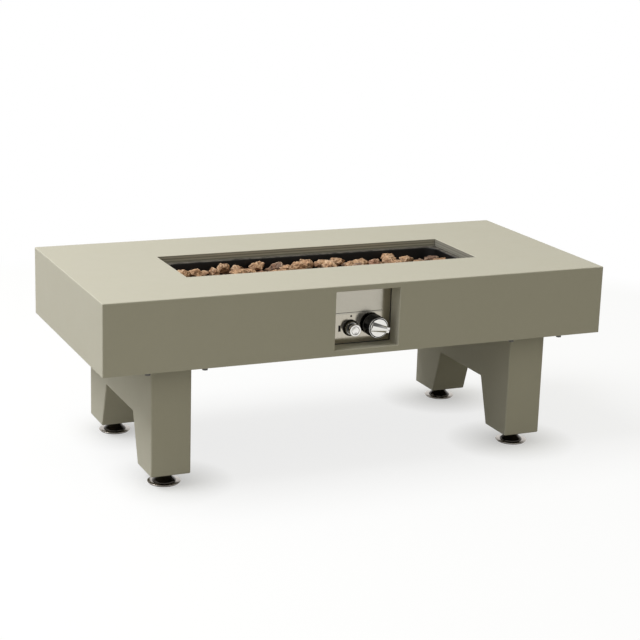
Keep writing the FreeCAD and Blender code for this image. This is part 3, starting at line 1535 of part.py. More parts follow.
def check_pieces():
    """Stop before anything is written if any object or piece has failed."""
    for thing in DOC.Objects:
        if "Invalid" in thing.State or "Error" in thing.State:
            raise RuntimeError(f"{thing.Name} has failed: {thing.State}")
    for name, part in PIECES.items():
        shape = part.Shape
        if shape.isNull() or not shape.isValid() or shape.Volume <= 0:
            raise RuntimeError(f"{name} has no valid solid")


def main():
    os.makedirs("parts", exist_ok=True)
    table_body()
    for name, side in (("left", -1), ("right", 1)):
        leg_plate(f"leg_plate_{name}", side)
        trestle(f"trestle_{name}", side)
    piece("bolt_washers", group("bolt_washers", plate_fasteners() + leg_fasteners()))
    foot_inserts()
    for tag, (x, y) in zip(("front_left", "back_left", "front_right", "back_right"), LEG_CORNERS):
        levelling_foot(tag, x, y)
    burner_pan()
    burner()
    jet_y = gas_feed()
    supply_tube(jet_y)
    ignition()
    leads(jet_y)
    piece("pan_screws", group("pan_screws", heat_shield() + control_panel()))
    gas_valve()
    gas_knob()
    knob_face()
    igniter()
    lava_rocks()
    DOC.recompute()
    check_pieces()
    for name, part in PIECES.items():
        part.Shape.exportStep(f"parts/{name}.step")
    print(f"pieces: {len(PIECES)}")


main()
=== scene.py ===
import json
import math

import bmesh
import bpy
from bpy.props import FloatProperty, FloatVectorProperty, IntProperty, PointerProperty
from mathutils import Matrix, Vector, noise

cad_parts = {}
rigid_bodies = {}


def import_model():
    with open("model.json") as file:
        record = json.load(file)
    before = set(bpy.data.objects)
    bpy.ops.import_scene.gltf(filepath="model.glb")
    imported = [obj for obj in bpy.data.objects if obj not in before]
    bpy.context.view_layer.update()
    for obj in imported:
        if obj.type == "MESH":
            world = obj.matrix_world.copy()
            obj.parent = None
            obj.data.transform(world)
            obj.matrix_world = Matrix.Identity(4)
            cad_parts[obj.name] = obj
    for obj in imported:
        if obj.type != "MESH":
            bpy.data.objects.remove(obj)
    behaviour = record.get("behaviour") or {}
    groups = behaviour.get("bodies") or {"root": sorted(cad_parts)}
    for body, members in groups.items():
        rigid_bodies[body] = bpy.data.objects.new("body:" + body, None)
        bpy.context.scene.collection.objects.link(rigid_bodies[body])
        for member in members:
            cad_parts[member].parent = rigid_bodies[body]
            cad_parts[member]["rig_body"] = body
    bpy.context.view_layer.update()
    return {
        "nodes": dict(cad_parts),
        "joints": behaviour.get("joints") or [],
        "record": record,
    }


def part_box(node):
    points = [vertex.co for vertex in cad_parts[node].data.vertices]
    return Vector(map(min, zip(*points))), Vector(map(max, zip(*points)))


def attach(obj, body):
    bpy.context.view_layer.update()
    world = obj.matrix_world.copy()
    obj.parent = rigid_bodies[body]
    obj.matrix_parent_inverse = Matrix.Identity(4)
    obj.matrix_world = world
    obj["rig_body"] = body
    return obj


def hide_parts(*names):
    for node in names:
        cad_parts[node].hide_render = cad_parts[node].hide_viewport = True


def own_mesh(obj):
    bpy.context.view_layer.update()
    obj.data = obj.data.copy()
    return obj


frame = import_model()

bl_info = {
    "name": "Fire pit table",
    "version": (1, 0, 0),
    "blender": (4, 5, 0),
    "location": "3D View > Sidebar > Fire pit",
    "description": "Dresses a gas fire pit table in cast stone, lava rock, enamel and chrome",
    "category": "Object",
}

MM = 0.001
WHITE = (1, 1, 1, 1)
ROCK_NODES = ("lava_rocks_left", "lava_rocks_middle", "lava_rocks_right")
ROCK_SHOWN = 0.349  # stones that reach above this height get the finest cuts
ROCK_FLUTTER = 937.0  # spreads the stones' middles over the cells that give each its tint
FOOT_PLACES = ("front_left", "back_left", "front_right", "back_right")
PAN_PASSES = ("burner_riser", "electrode_ceramic", "thermocouple")


def colour(name, description, default):
    return FloatVectorProperty(name=name, description=description, subtype="COLOR", size=3,
                               min=0, max=1, default=default)


def length(name, description, default, low=0.0, high=1.0):
    return FloatProperty(name=name, description=description, subtype="DISTANCE", unit="LENGTH",
                         min=low, max=high, precision=4, default=default)


def share(name, description, default):
    return FloatProperty(name=name, description=description, subtype="FACTOR", min=0, max=1,
                         default=default)


def angle(name, description, default):
    return FloatProperty(name=name, description=description, subtype="ANGLE", unit="ROTATION",
                         default=math.radians(default))


def amount(name, description, default, low=0.0, high=5.0):
    return FloatProperty(name=name, description=description, min=low, max=high, default=default)


class FirePitColours(bpy.types.PropertyGroup):
    stone: colour("Stone", "Painted cast stone of the body and the trestles", (0.56, 0.537, 0.452))
    stone_shade: share("Stone shade", "How far the stone's mottle goes dark and light", 0.022)
    rock_pale: colour("Rock, pale", "Dusty faces of the lava rock", (0.69, 0.435, 0.26))
    rock_rose: colour("Rock, rose", "Reddish stones among the others", (0.56, 0.32, 0.22))
    rock_rust: colour("Rock, rust", "Rusty patches on every stone", (0.31, 0.155, 0.095))
    # rock_rim is a painted highlight along the stones' ridges
    rock_rim: colour("Rock, rim", "Worn edges of the lava rock", (0.97, 0.73, 0.52))
    # rock_deep is painted shade in the stones' pores, pits and cracks and on the lower stones, and
    # also the dark of their speckle
    rock_deep: colour("Rock, deep", "Hollows of the lava rock", (0.075, 0.038, 0.022))
    rock_ash: colour("Rock, ash", "Grey-brown stones among the others", (0.26, 0.18, 0.14))
    enamel: colour("Enamel", "Black enamel of the burner pan", (0.004, 0.004, 0.0039))
    chrome: colour("Chrome", "Chrome of the controls", (0.80, 0.785, 0.75))
    foot_rim: colour("Foot rim", "Dull chrome of the feet's thin rims", (0.50, 0.46, 0.42))
    foot_dome: colour("Foot dome", "Black chrome of the feet's domes", (0.05, 0.044, 0.038))
    stainless: colour("Stainless", "Polished stainless steel of the control panel",
                      (0.50, 0.465, 0.39))
    label: colour("Label", "Bare silver label", (0.445, 0.42, 0.355))
    ink: colour("Ink", "Printed marks on the panel", (0.02, 0.018, 0.018))
    plastic: colour("Plastic", "Black plastic of the knob and the igniter", (0.012, 0.012, 0.012))
    rubber: colour("Rubber", "Soles of the feet", (0.022, 0.022, 0.022))


class FirePitSizes(bpy.types.PropertyGroup):
    rock_pit: length("Rock pit", "Depth of the pits in the lava rock", 0.0018, high=0.01)
    rock_lump: length("Rock lump", "Depth of the broad dents in the lava rock", 0.0042, high=0.01)
    rock_crack: length("Rock crack", "Depth of the cracks between the rock's knobs", 0.0022,
                       high=0.01)
    rock_fill: amount("Rock fill", "Growth that makes up for dents and pits", 1.13, 1, 1.3)
    rock_cuts: IntProperty(name="Rock cuts", min=1, max=15, default=10,
                           description="Cuts along each edge of a rock that shows")
    pan_bend: length("Pan bend", "Radius between the pan's rim and wall", 0.003, high=0.008)
    pan_floor_bend: length("Pan floor bend", "Radius between the pan's wall and floor", 0.004,
                           high=0.02)
    # the strip round the control panel is black as the painted shadow of the gap between the panel
    # and its recess
    gap_shadow_width: length("Seal width", "Rubber seal round the control panel", 0.0015, high=0.005)
    gap_shadow_height: length("Seal height", "How far the seal stands off the panel", 0.0007, high=0.005)
    pointer: angle("Pointer", "How far the knob's pointer hangs below level", 15)


class FirePitStudio(bpy.types.PropertyGroup):
    target: FloatVectorProperty(name="Target", description="The point that the camera looks at",
                                subtype="XYZ", unit="LENGTH", size=3,
                                default=(0.0079, 0.0, 0.2501))
    distance: length("Distance", "From the camera to its target", 3.4353, high=20)
    azimuth: angle("Azimuth", "The camera's way round the table", -24.016)
    elevation: angle("Elevation", "The camera's height as an angle", 14.947)
    roll: angle("Roll", "The camera's turn about its own line of sight", 1.795)
    lens: FloatProperty(name="Lens", description="Focal length of the camera, in millimetres",
                        unit="CAMERA", min=10, max=400, default=93.19)
    key: amount("Key light", "Light that reaches the table from the main light", 2.28, high=20)
    key_distance: length("Key distance", "From the main light to the table", 5.0, high=20)
    key_azimuth: angle("Key azimuth", "Where the main light stands, from the front", -98)
    key_elevation: angle("Key elevation", "How high the main light stands", 57)
    key_softness: angle("Key softness", "Width of the main light in the sky", 38)
    sky: amount("Sky", "Soft light from overhead", 0.40)
    horizon: share("Horizon", "How much of the sky's light is left at the horizon", 0.4)
    fill: amount("Fill", "Soft light from the left, low down", 0.45)
    ceiling: share("Ceiling", "How bright shiny metal sees the room straight above", 0.13)
    floor_bounce: share("Floor bounce", "How much of its light the floor gives back", 0.36)
    floor_lift: share("Floor lift", "How far the floor's shadow is lightened in the picture", 0.8)
    foot_lift: share("Foot lift", "How far the shadow close to a foot is lightened", 0.45)


# node trees


def feed(tree, socket, value):
    """Link a socket to another one, or give it a plain value."""
    if isinstance(value, bpy.types.NodeSocket):
        tree.links.new(value, socket)
    else:
        socket.default_value = value


def node(tree, kind, settings=None, inputs=None):
    """Add a shader node, set its properties, and set or link its inputs by name or number."""
    made = tree.nodes.new(kind)
    for name, value in (settings or {}).items():
        setattr(made, name, value)
    for name, value in (inputs or {}).items():
        feed(tree, made.inputs[name], value)
    return made


def new_group(name, inputs, outputs):
    """A shared node group, with the sockets that its inputs' defaults call for."""
    tree = bpy.data.node_groups.new(name, "ShaderNodeTree")
    for label, default in inputs.items():
        kind = "NodeSocketVector" if isinstance(default, tuple) else "NodeSocketFloat"
        socket = tree.interface.new_socket(label, in_out="INPUT", socket_type=kind)
        socket.default_value = default
    for label in outputs:
        tree.interface.new_socket(label, in_out="OUTPUT", socket_type="NodeSocketFloat")
    return tree, tree.nodes.new("NodeGroupInput").outputs, tree.nodes.new("NodeGroupOutput").inputs


def vector(tree, operation, first, *second):
    """Vector maths; the result is at output 0, or at "Value" where it is a number."""
    inputs = dict(enumerate((first, *second)))
    return node(tree, "ShaderNodeVectorMath", {"operation": operation}, inputs).outputs


def object_place(tree):
    return node(tree, "ShaderNodeTexCoord").outputs["Object"]


def split(tree, place):
    return node(tree, "ShaderNodeSeparateXYZ", {}, {0: place}).outputs


def cloud(tree, place, scale, detail=4.0, rough=0.55):
    return node(tree, "ShaderNodeTexNoise", {}, {"Vector": place, "Scale": scale, "Detail": detail,
                                                 "Roughness": rough}).outputs["Fac"]


def cells(tree, place, scale, feature="F1", **rest):
    """The distance to the nearest of many scattered points."""
    return node(tree, "ShaderNodeTexVoronoi", {"feature": feature},
                {"Vector": place, "Scale": scale, **rest}).outputs["Distance"]


def maths(tree, operation, first, second=0.0, clamp=False):
    return node(tree, "ShaderNodeMath", {"operation": operation, "use_clamp": clamp},
                {0: first, 1: second}).outputs[0]


def times(tree, first, second, clamp=False):
    return maths(tree, "MULTIPLY", first, second, clamp)


def plus(tree, first, second, clamp=False):
    return maths(tree, "ADD", first, second, clamp)


def most(tree, first, *others):
    """The largest of several numbers."""
    for other in others:
        first = maths(tree, "MAXIMUM", first, other)
    return first


def between(tree, value, low, high, to_low=0.0, to_high=1.0):
    return node(tree, "ShaderNodeMapRange", {"clamp": True},
                {"Value": value, "From Min": low, "From Max": high, "To Min": to_low,
                 "To Max": to_high}).outputs["Result"]


def build_mottle():
    """Broad and fine cloudiness, from 0 to 1 about a half."""
    tree, given, out = new_group("Mottle", {"Scale": 10.0, "Contrast": 1.0}, ["Mask"])
    place = object_place(tree)
    broad = cloud(tree, place, given["Scale"])
    fine = cloud(tree, place, times(tree, given["Scale"], 7.3))
    both = plus(tree, times(tree, broad, 0.65), times(tree, fine, 0.35))
    spread = times(tree, maths(tree, "SUBTRACT", both, 0.5), given["Contrast"])
    tree.links.new(plus(tree, spread, 0.5, clamp=True), out["Mask"])
    return tree


def build_grain():
    """Fine height for a cast or sprayed surface: grit with a few pin holes."""
    tree, given, out = new_group("Grain", {"Scale": 600.0, "Pin holes": 0.0}, ["Height"])
    place = object_place(tree)
    grit = cloud(tree, place, given["Scale"], 5.0, 0.6)
    holes = cells(tree, place, times(tree, given["Scale"], 0.21))
    dip = between(tree, holes, 0.05, 0.28, -1.0, 0.0)
    tree.links.new(plus(tree, grit, times(tree, dip, given["Pin holes"])), out["Height"])
    return tree


def build_brushing():
    """Long fine scratches along one way, as height and as a mask."""
    tree, given, out = new_group("Brushing", {"Stretch": (1.0, 40.0, 40.0), "Scale": 60.0},
                                 ["Height", "Mask"])
    place = vector(tree, "MULTIPLY", object_place(tree), given["Stretch"])[0]
    lines = cloud(tree, place, given["Scale"], 6.0, 0.7)
    broad = cloud(tree, place, times(tree, given["Scale"], 0.12), 3.0)
    tree.links.new(lines, out["Height"])
    tree.links.new(between(tree, broad, 0.35, 0.65), out["Mask"])
    return tree


def build_handling():
    """Roughness that varies with smears and rubbed places."""
    tree, given, out = new_group("Handling", {"Scale": 25.0, "Smooth": 0.1, "Rough": 0.2},
                                 ["Roughness"])
    place = object_place(tree)
    smear = cloud(tree, place, given["Scale"], 5.0, 0.65)
    rough = between(tree, smear, 0.35, 0.7, given["Smooth"], given["Rough"])
    tree.links.new(rough, out["Roughness"])
    return tree


def build_settling():
    """Dust and soot that lie on faces that look up, broken up by noise."""
    tree, given, out = new_group("Settling", {"Amount": 0.5, "Scale": 60.0}, ["Mask"])
    up = split(tree, node(tree, "ShaderNodeNewGeometry").outputs["Normal"])["Z"]
    patchy = cloud(tree, object_place(tree), given["Scale"], 6.0, 0.6)
    lying = times(tree, between(tree, up, 0.5, 0.97), between(tree, patchy, 0.25, 0.6))
    tree.links.new(times(tree, lying, given["Amount"], clamp=True), out["Mask"])
    return tree


def build_ripple():
    """The slow waves of a plated face, as height."""
    tree, given, out = new_group("Ripple", {"Scale": 160.0}, ["Height"])
    tree.links.new(cloud(tree, object_place(tree), given["Scale"], 2.0), out["Height"])
    return tree


GROUPS = {"Mottle": build_mottle, "Grain": build_grain, "Brushing": build_brushing,
          "Handling": build_handling, "Settling": build_settling, "Ripple": build_ripple}


def effect(tree, name, **inputs):
    """Place one of the shared groups, with its values, in a material."""
    made = tree.nodes.new("ShaderNodeGroup")
    made.node_tree = bpy.data.node_groups.get(name) or GROUPS[name]()
    for label, value in inputs.items():
        feed(tree, made.inputs[label.replace("_", " ").capitalize()], value)
    return made.outputs


def blend(tree, mask, first, second):
    """Mix two colours, each a socket or three numbers, by a mask."""
    made = node(tree, "ShaderNodeMix", {"data_type": "RGBA"}, {0: mask})
    for index, value in ((6, first), (7, second)):
        linked = isinstance(value, bpy.types.NodeSocket)
        feed(tree, made.inputs[index], value if linked else (*value, 1))
    return made.outputs[2]


def straight_rays(tree):
    """One for rays from the camera, off shiny metal or through glass, and nought for the rest."""
    path = node(tree, "ShaderNodeLightPath").outputs
    return most(tree, path["Is Camera Ray"], path["Is Glossy Ray"], path["Is Transmission Ray"])


def mix_shaders(tree, mask, first, second, end):
    """Mix the outputs of two shader nodes by a mask, and link them to the tree's last node."""
    mixed = node(tree, "ShaderNodeMixShader", {}, {0: mask, 1: first.outputs[0],
                                                   2: second.outputs[0]})
    tree.links.new(mixed.outputs[0], end.inputs["Surface"])


def scaled(tone, factor):
    return tuple(min(1.0, part * factor) for part in tone)


def shades(tree, mask, tone, dark, light):
    """One tone, darker where a mask is 0 and lighter where it is 1."""
    return blend(tree, mask, scaled(tone, dark), scaled(tone, light))


def start_material(metallic=0.0, **fixed):
    """A material with its shader; fixed values go straight onto the shader's own sockets."""
    material = bpy.data.materials.new("finish")
    material.use_nodes = True
    tree = material.node_tree
    shader = tree.nodes["Principled BSDF"]
    shader.inputs["Metallic"].default_value = metallic
    for label, value in fixed.items():
        shader.inputs[label.replace("_", " ")].default_value = value
    return material, tree, shader


def coat(tree, shader, tone, scale, smooth, rough):
    """Give a shader its colour, and a roughness that varies with handling."""
    tree.links.new(tone, shader.inputs["Base Color"])
    smears_and_rim_light = effect(tree, "Handling", Scale=scale, Smooth=smooth, Rough=rough)["Roughness"]
    tree.links.new(smears_and_rim_light, shader.inputs["Roughness"])


def bump(tree, shader, height, distance):
    made = node(tree, "ShaderNodeBump", {}, {"Height": height, "Distance": distance,
                                             "Strength": 1.0})
    tree.links.new(made.outputs["Normal"], shader.inputs["Normal"])


def surface(tone, rough, metallic=0.0, shade=0.06, mottle=20.0, grain=0.0, holes=0.0,
            depth=0.0, brushed=None, dust=0.0, **fixed):
    """A finish with mottled colour, handled roughness, and grain or brushing as its relief."""
    material, tree, shader = start_material(metallic, **fixed)
    mask = effect(tree, "Mottle", Scale=mottle, Contrast=1.6)["Mask"]
    toned = shades(tree, mask, tone, 1 - shade, 1 + shade)
    if dust:
        lying = effect(tree, "Settling", Amount=dust, Scale=mottle * 3)["Mask"]
        toned = blend(tree, lying, toned, (0.30, 0.27, 0.23))
    coat(tree, shader, toned, mottle * 1.7, *rough)
    if brushed:
        relief = effect(tree, "Brushing", Stretch=brushed, Scale=60.0)["Height"]
    else:
        relief = effect(tree, "Grain", Scale=grain, Pin_holes=holes)["Height"]
    bump(tree, shader, relief, depth)
    return material


# finishes, one for each material slot of the record and a few of their variants


def cast_stone(tones):
    """Sprayed and sealed cast stone: faint mottle, fine grit, a few pin holes."""
    material, tree, shader = start_material(Specular_IOR_Level=0.12)
    broad = effect(tree, "Mottle", Scale=3.5, Contrast=1.5)["Mask"]
    fine = effect(tree, "Mottle", Scale=90.0, Contrast=1.8)["Mask"]
    stone, spread = tones.stone, tones.stone_shade
    wide = shades(tree, broad, stone, 1 - spread, 1 + spread)
    speck = shades(tree, fine, stone, 1 - spread * 1.6, 1 + spread * 1.6)
    clean = blend(tree, 0.45, wide, speck)
    # the walls of the fire opening get painted shade
    coat(tree, shader, opening_shade(tree, clean, stone), 14.0, 0.58, 0.74)
    grit = effect(tree, "Grain", Scale=520.0, Pin_holes=0.5)["Height"]
    swell = effect(tree, "Ripple", Scale=16.0)["Height"]
    bump(tree, shader, plus(tree, grit, times(tree, swell, 2.5)), 0.00022)
    return material


def opening_shade(tree, clean, stone):
    """Painted shade on the walls of the fire opening, deeper on its two end walls, in faint
    horizontal bands.
    """
    low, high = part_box("burner_pan")
    side = split(tree, vector(tree, "ABSOLUTE", object_place(tree))[0])
    across = maths(tree, "LESS_THAN", side["X"], high.x + 3 * MM)
    along = maths(tree, "LESS_THAN", side["Y"], high.y + 3.5 * MM)
    under = between(tree, side["Z"], high.z + 13 * MM, high.z + 14 * MM, 1.0, 0.0)
    wall = times(tree, times(tree, across, along), under)
    end = times(tree, wall, between(tree, side["X"], high.x - 1 * MM, high.x))
    line = maths(tree, "PINGPONG", side["Z"], 2.7 * MM)
    streak = between(tree, line, 0.5 * MM, 1.6 * MM, 0.9, 0.25)
    # painted shade: the walls darker in bands, and the end walls darker still
    brown = blend(tree, times(tree, wall, streak), clean, scaled(stone, 0.42))
    return blend(tree, times(tree, end, 0.6), brown, scaled(stone, 0.3))


def lava_rock(tones):
    """Porous volcanic stone: dusty red-brown faces and each stone its own tint, with painted shade
    in its pores, pits and cracks and on the lower stones, and a painted highlight on its ridges.
    """
    material, tree, shader = start_material(Specular_IOR_Level=0.2)
    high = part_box("lava_rocks_middle")[1]
    place = object_place(tree)
    pores = cells(tree, place, 420.0, "SMOOTH_F1", Smoothness=0.3)
    coarse = cells(tree, place, 170.0)
    patch = cloud(tree, place, 90.0, 4.0, 0.6)
    speck = cloud(tree, place, 210.0, 5.0, 0.7)
    tint, hollow, smears_and_rim_light = (node(tree, "ShaderNodeAttribute", {"attribute_name": name}).outputs["Fac"]
                          for name in ("tint", "hollow", "smears_and_rim_light"))
    rosy = blend(tree, between(tree, tint, 0.3, 0.5), tones.rock_pale, tones.rock_rose)
    ashen = blend(tree, between(tree, tint, 0.75, 0.85), rosy, tones.rock_ash)
    rusty = blend(tree, between(tree, patch, 0.42, 0.66, 0.0, 0.75), ashen, tones.rock_rust)
    # pale rims along the stones' ridges: a painted highlight
    rim = times(tree, smears_and_rim_light, between(tree, speck, 0.62, 0.42, 0.1, 0.9))
    face = blend(tree, rim, rusty, tones.rock_rim)
    # pores, pits and cracks are painted dark as shade; the grain is the stone's own dark speckle
    pit = times(tree, between(tree, pores, 0.32, 0.08), 0.75)
    grain = between(tree, speck, 0.53, 0.63, 0.0, 0.85)
    height = split(tree, place)["Z"]
    # painted shade: stones lower in the pan darker, the lower the darker
    low_shade = between(tree, height, high.z - 26 * MM, high.z - 5 * MM, 0.75, 0.0)
    deep = times(tree, most(tree, pit, grain, hollow, low_shade), 0.85, clamp=True)
    tree.links.new(blend(tree, deep, face, tones.rock_deep), shader.inputs["Base Color"])
    tree.links.new(between(tree, patch, 0.3, 0.7, 0.82, 0.98), shader.inputs["Roughness"])
    relief = plus(tree, times(tree, between(tree, pores, 0.05, 0.4), 0.8),
                  maths(tree, "SUBTRACT", coarse, speck))
    bump(tree, shader, relief, 0.0014)
    return material


def burner_steel(tones):
    """Stainless tube with straw and blue heat colours."""
    material, tree, shader = start_material(1.0)
    heat = effect(tree, "Mottle", Scale=45.0, Contrast=3.0)["Mask"]
    straw = blend(tree, between(tree, heat, 0.3, 0.6), (0.42, 0.40, 0.38), (0.34, 0.24, 0.13))
    blue = blend(tree, between(tree, heat, 0.62, 0.9), straw, (0.10, 0.12, 0.20))
    coat(tree, shader, blue, 60.0, 0.25, 0.45)
    bump(tree, shader, effect(tree, "Brushing", Stretch=(1.0, 25.0, 25.0), Scale=90.0)["Height"],
         0.00005)
    return material


def panel_steel(tones):
    """Polished stainless sheet: faint vertical polish lines and a few smears."""
    material, tree, shader = start_material(1.0)
    lines = effect(tree, "Brushing", Stretch=(30.0, 30.0, 1.0), Scale=50.0)
    coat(tree, shader, shades(tree, lines["Mask"], tones.stainless, 0.95, 1.04), 30.0, 0.10, 0.16)
    bump(tree, shader, lines["Height"], 0.000004)
    return material


def chrome_metal(tone, rough, ripple):
    """Chrome plate: nearly a mirror, with faint smears and a slow ripple."""
    material, tree, shader = start_material(1.0)
    mask = effect(tree, "Mottle", Scale=60.0, Contrast=1.5)["Mask"]
    coat(tree, shader, shades(tree, mask, tone, 0.95, 1.03), 90.0, *rough)
    bump(tree, shader, effect(tree, "Ripple", Scale=160.0)["Height"], ripple)
    return material


def plain(tone, *rest, **more):
    """A finish made by surface(); its tone is given, or named among the table's colours."""
    return lambda tones: surface(getattr(tones, tone) if isinstance(tone, str) else tone,
                                 *rest, **more)


def chromed(tone, factor, *rest):
    """A finish made by chrome_metal() from one of the table's colours, times a factor."""
    return lambda tones: chrome_metal(scaled(getattr(tones, tone), factor), *rest)


FINISHES = {
    "cast_stone": cast_stone,
    "lava_rock": lava_rock,
    "pan_enamel": plain("enamel", (0.42, 0.56), 0.0, 0.25, 30, grain=240, depth=0.00008, dust=0.5,
        Specular_IOR_Level=0.3),
    "burner_steel": burner_steel,
    "plate_steel": plain((0.10, 0.10, 0.098), (0.42, 0.6), 0.6, 0.2, 25, grain=420, depth=0.00006,
        dust=0.15),
    "bolt_steel": plain((0.10, 0.098, 0.09), (0.35, 0.5), 1.0, 0.12, 140, grain=900,
        depth=0.00003),
    "insert_brass": plain((0.66, 0.47, 0.20), (0.22, 0.38), 1.0, 0.12, 90,
        brushed=(30.0, 30.0, 1.0), depth=0.00002),
    "foot_chrome": chromed("foot_rim", 1, (0.14, 0.26), 0.00002),
    "foot_dome": chromed("foot_dome", 1, (0.16, 0.28), 0.00001),
    "sole_rubber": plain("rubber", (0.75, 0.9), 0.0, 0.2, 80, grain=900, holes=0.4, depth=0.0001),
    "elbow_iron": plain((0.09, 0.085, 0.08), (0.55, 0.75), 0.7, 0.25, 60, grain=330, holes=0.8,
        depth=0.00025),
    "tube_aluminium": plain((0.77, 0.77, 0.76), (0.28, 0.42), 1.0, 0.06, 70, grain=700,
        depth=0.00003),
    "electrode_ceramic": plain((0.78, 0.76, 0.70), (0.12, 0.3), 0.0, 0.05, 120, grain=900,
        depth=0.00002, Coat_Weight=0.5, Coat_Roughness=0.1),
    "probe_steel": plain((0.30, 0.27, 0.25), (0.3, 0.5), 1.0, 0.3, 160,
        brushed=(30.0, 30.0, 1.0), depth=0.00003, dust=0.2),
    "lead_red": plain((0.40, 0.03, 0.02), (0.5, 0.65), 0.0, 0.12, 70, grain=500, depth=0.00005),
    "lead_copper": plain((0.62, 0.30, 0.19), (0.25, 0.42), 1.0, 0.2, 80, grain=700,
        depth=0.00003),
    "panel_steel": panel_steel,
    "label_silver": plain("label", (0.18, 0.26), 1.0, 0.02, 40, grain=900, depth=0.000003),
    "control_black": plain("plastic", (0.16, 0.3), 0.0, 0.2, 60, grain=700, depth=0.00002,
        Specular_IOR_Level=0.2),
    # chrome at half its tone: painted shade for the dark surroundings that the ring reflects
    "bevel_chrome": chromed("chrome", 0.5, (0.06, 0.12), 0.000008),
    "control_chrome": chromed("chrome", 1, (0.04, 0.10), 0.000008),
    "spring_steel": plain((0.50, 0.50, 0.50), (0.25, 0.4), 1.0, 0.1, 120, grain=900,
        depth=0.00002),
    "battery_sleeve": plain((0.16, 0.17, 0.19), (0.25, 0.35), 0.0, 0.1, 50, grain=700,
        depth=0.00002, Coat_Weight=0.3),
    "ink": plain("ink", (0.35, 0.5), 0.0, 0.2, 200, grain=1500, depth=0.00001,
        Specular_IOR_Level=0.1),
}
# the record's slot behind each finish that the record doesn't have
RECORD_SLOTS = {"foot_dome": "foot_chrome", "bevel_chrome": "control_chrome",
                "ink": "control_black"}


def finish(slot):
    """The material of a slot, made when it is first asked for."""
    made = bpy.data.materials.get("fire_pit_" + slot)
    if made is None:
        made = FINISHES[slot](bpy.context.scene.fire_pit_colours)
        made.name = "fire_pit_" + slot
    return made


# shapes


def turned(profile, steps=96):
    """Spin a closed outline of (radius, height) points, in millimetres, about Z into a solid."""
    shape = bmesh.new()
    corners = [shape.verts.new((radius * MM, 0, height * MM)) for radius, height in profile]
    chain = [shape.edges.new(pair) for pair in zip(corners, corners[1:])]
    if profile[0][0] > 0:
        chain.append(shape.edges.new((corners[-1], corners[0])))
    bmesh.ops.spin(shape, geom=corners + chain, cent=(0, 0, 0), axis=(0, 0, 1), dvec=(0, 0, 0),
                   angle=math.tau, steps=steps, use_merge=True)
    tidy(shape)
    return shape


def tidy(shape):
    bmesh.ops.remove_doubles(shape, verts=shape.verts, dist=1e-7)
    bmesh.ops.dissolve_degenerate(shape, edges=shape.edges, dist=1e-7)
    bmesh.ops.recalc_face_normals(shape, faces=shape.faces)


def break_edges(shape, width, sharp=25):
    """Round every edge between faces that meet at more than an angle."""
    edges = [edge for edge in shape.edges
             if edge.is_manifold and edge.calc_face_angle() > math.radians(sharp)]
    bmesh.ops.bevel(shape, geom=edges, offset=width, offset_type="OFFSET", affect="EDGES",
                    segments=3, profile=0.5, material=-1, clamp_overlap=True)


def moved(shape, matrix):
    bmesh.ops.transform(shape, matrix=matrix, verts=shape.verts)
    return shape


def centre_of(node_name):
    low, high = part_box(node_name)
    return (low + high) / 2


def panel_front():
    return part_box("control_panel")[0].y


def outward(x, z):
    """From a piece's own axes, with its height along Z, to a place on the front of the panel."""
    return Matrix.Translation((x, panel_front(), z)) @ Matrix.Rotation(math.pi / 2, 4, "X")


def second_finish(shape, chosen):
    """Give the second finish to the faces that a test of radius and height, in mm, picks."""
    for face in shape.faces:
        spot = face.calc_center_median() / MM
        if chosen(math.hypot(spot.x, spot.y), spot.z):
            face.material_index = 1


def mesh_of(name, shape):
    mesh = bpy.data.meshes.new(name)
    shape.to_mesh(mesh)
    shape.free()
    return mesh


def placed(name, data):
    made = bpy.data.objects.new(name, data)
    bpy.context.scene.collection.objects.link(made)
    return made


def show(name, shape, slots, body, stands_for=None, smooth=40):
    """Make a mesh object of a shape, give it its finishes and let it ride on its body."""
    mesh = mesh_of(name, shape)
    mesh.shade_smooth()
    mesh.set_sharp_from_angle(angle=math.radians(smooth))
    piece = placed(name, mesh)
    for slot in slots:
        mesh.materials.append(finish(slot))
    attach(piece, body)
    RECORD_SLOTS.get(slots[0], slots[0])
    if stands_for:
        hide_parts(stands_for)
    return piece


def verts_of(made):
    return [item for item in made["geom"] if isinstance(item, bmesh.types.BMVert)]


def edges_within(verts):
    """The edges that join some vertices to each other, always in the same order."""
    inside = set(verts)
    return list(dict.fromkeys(edge for vert in verts for edge in vert.link_edges
                              if edge.other_vert(vert) in inside))


def raised(shape, face, height):
    """Extrude a flat face straight up into a closed slab; gives the vertices of its top."""
    top = verts_of(bmesh.ops.extrude_face_region(shape, geom=[face]))
    bmesh.ops.translate(shape, verts=top, vec=(0, 0, height))
    bmesh.ops.recalc_face_normals(shape, faces=shape.faces)
    return top


def slab(corners, low, high):
    """A flat outline of (x, y) corners, raised from one height to another, in millimetres."""
    shape = bmesh.new()
    face = shape.faces.new([shape.verts.new((x * MM, y * MM, low * MM)) for x, y in corners])
    return shape, raised(shape, face, (high - low) * MM)


def oblong(left, front, right, back):
    return [(left, front), (right, front), (right, back), (left, back)]


def joined(*shapes):
    """Put several shapes in one, each as its own closed shell."""
    whole = shapes[0]
    for shape in shapes[1:]:
        mesh = mesh_of("part", shape)
        whole.from_mesh(mesh)
        bpy.data.meshes.remove(mesh)
    return whole


def rounded_loop(shape, form, height, steps=32):
    """A ring of vertices round a rectangle; the form is its half sizes and its corner radius."""
    half_x, half_y, radius = form
    ring = bmesh.ops.create_circle(shape, cap_ends=False, segments=steps, radius=radius)["verts"]
    bmesh.ops.rotate(shape, verts=ring, cent=(0, 0, 0),
                     matrix=Matrix.Rotation(math.pi / steps, 3, "Z"))
    for vert in ring:
        vert.co.x += math.copysign(half_x - radius, vert.co.x)
        vert.co.y += math.copysign(half_y - radius, vert.co.y)
        vert.co.z = height
    return ring


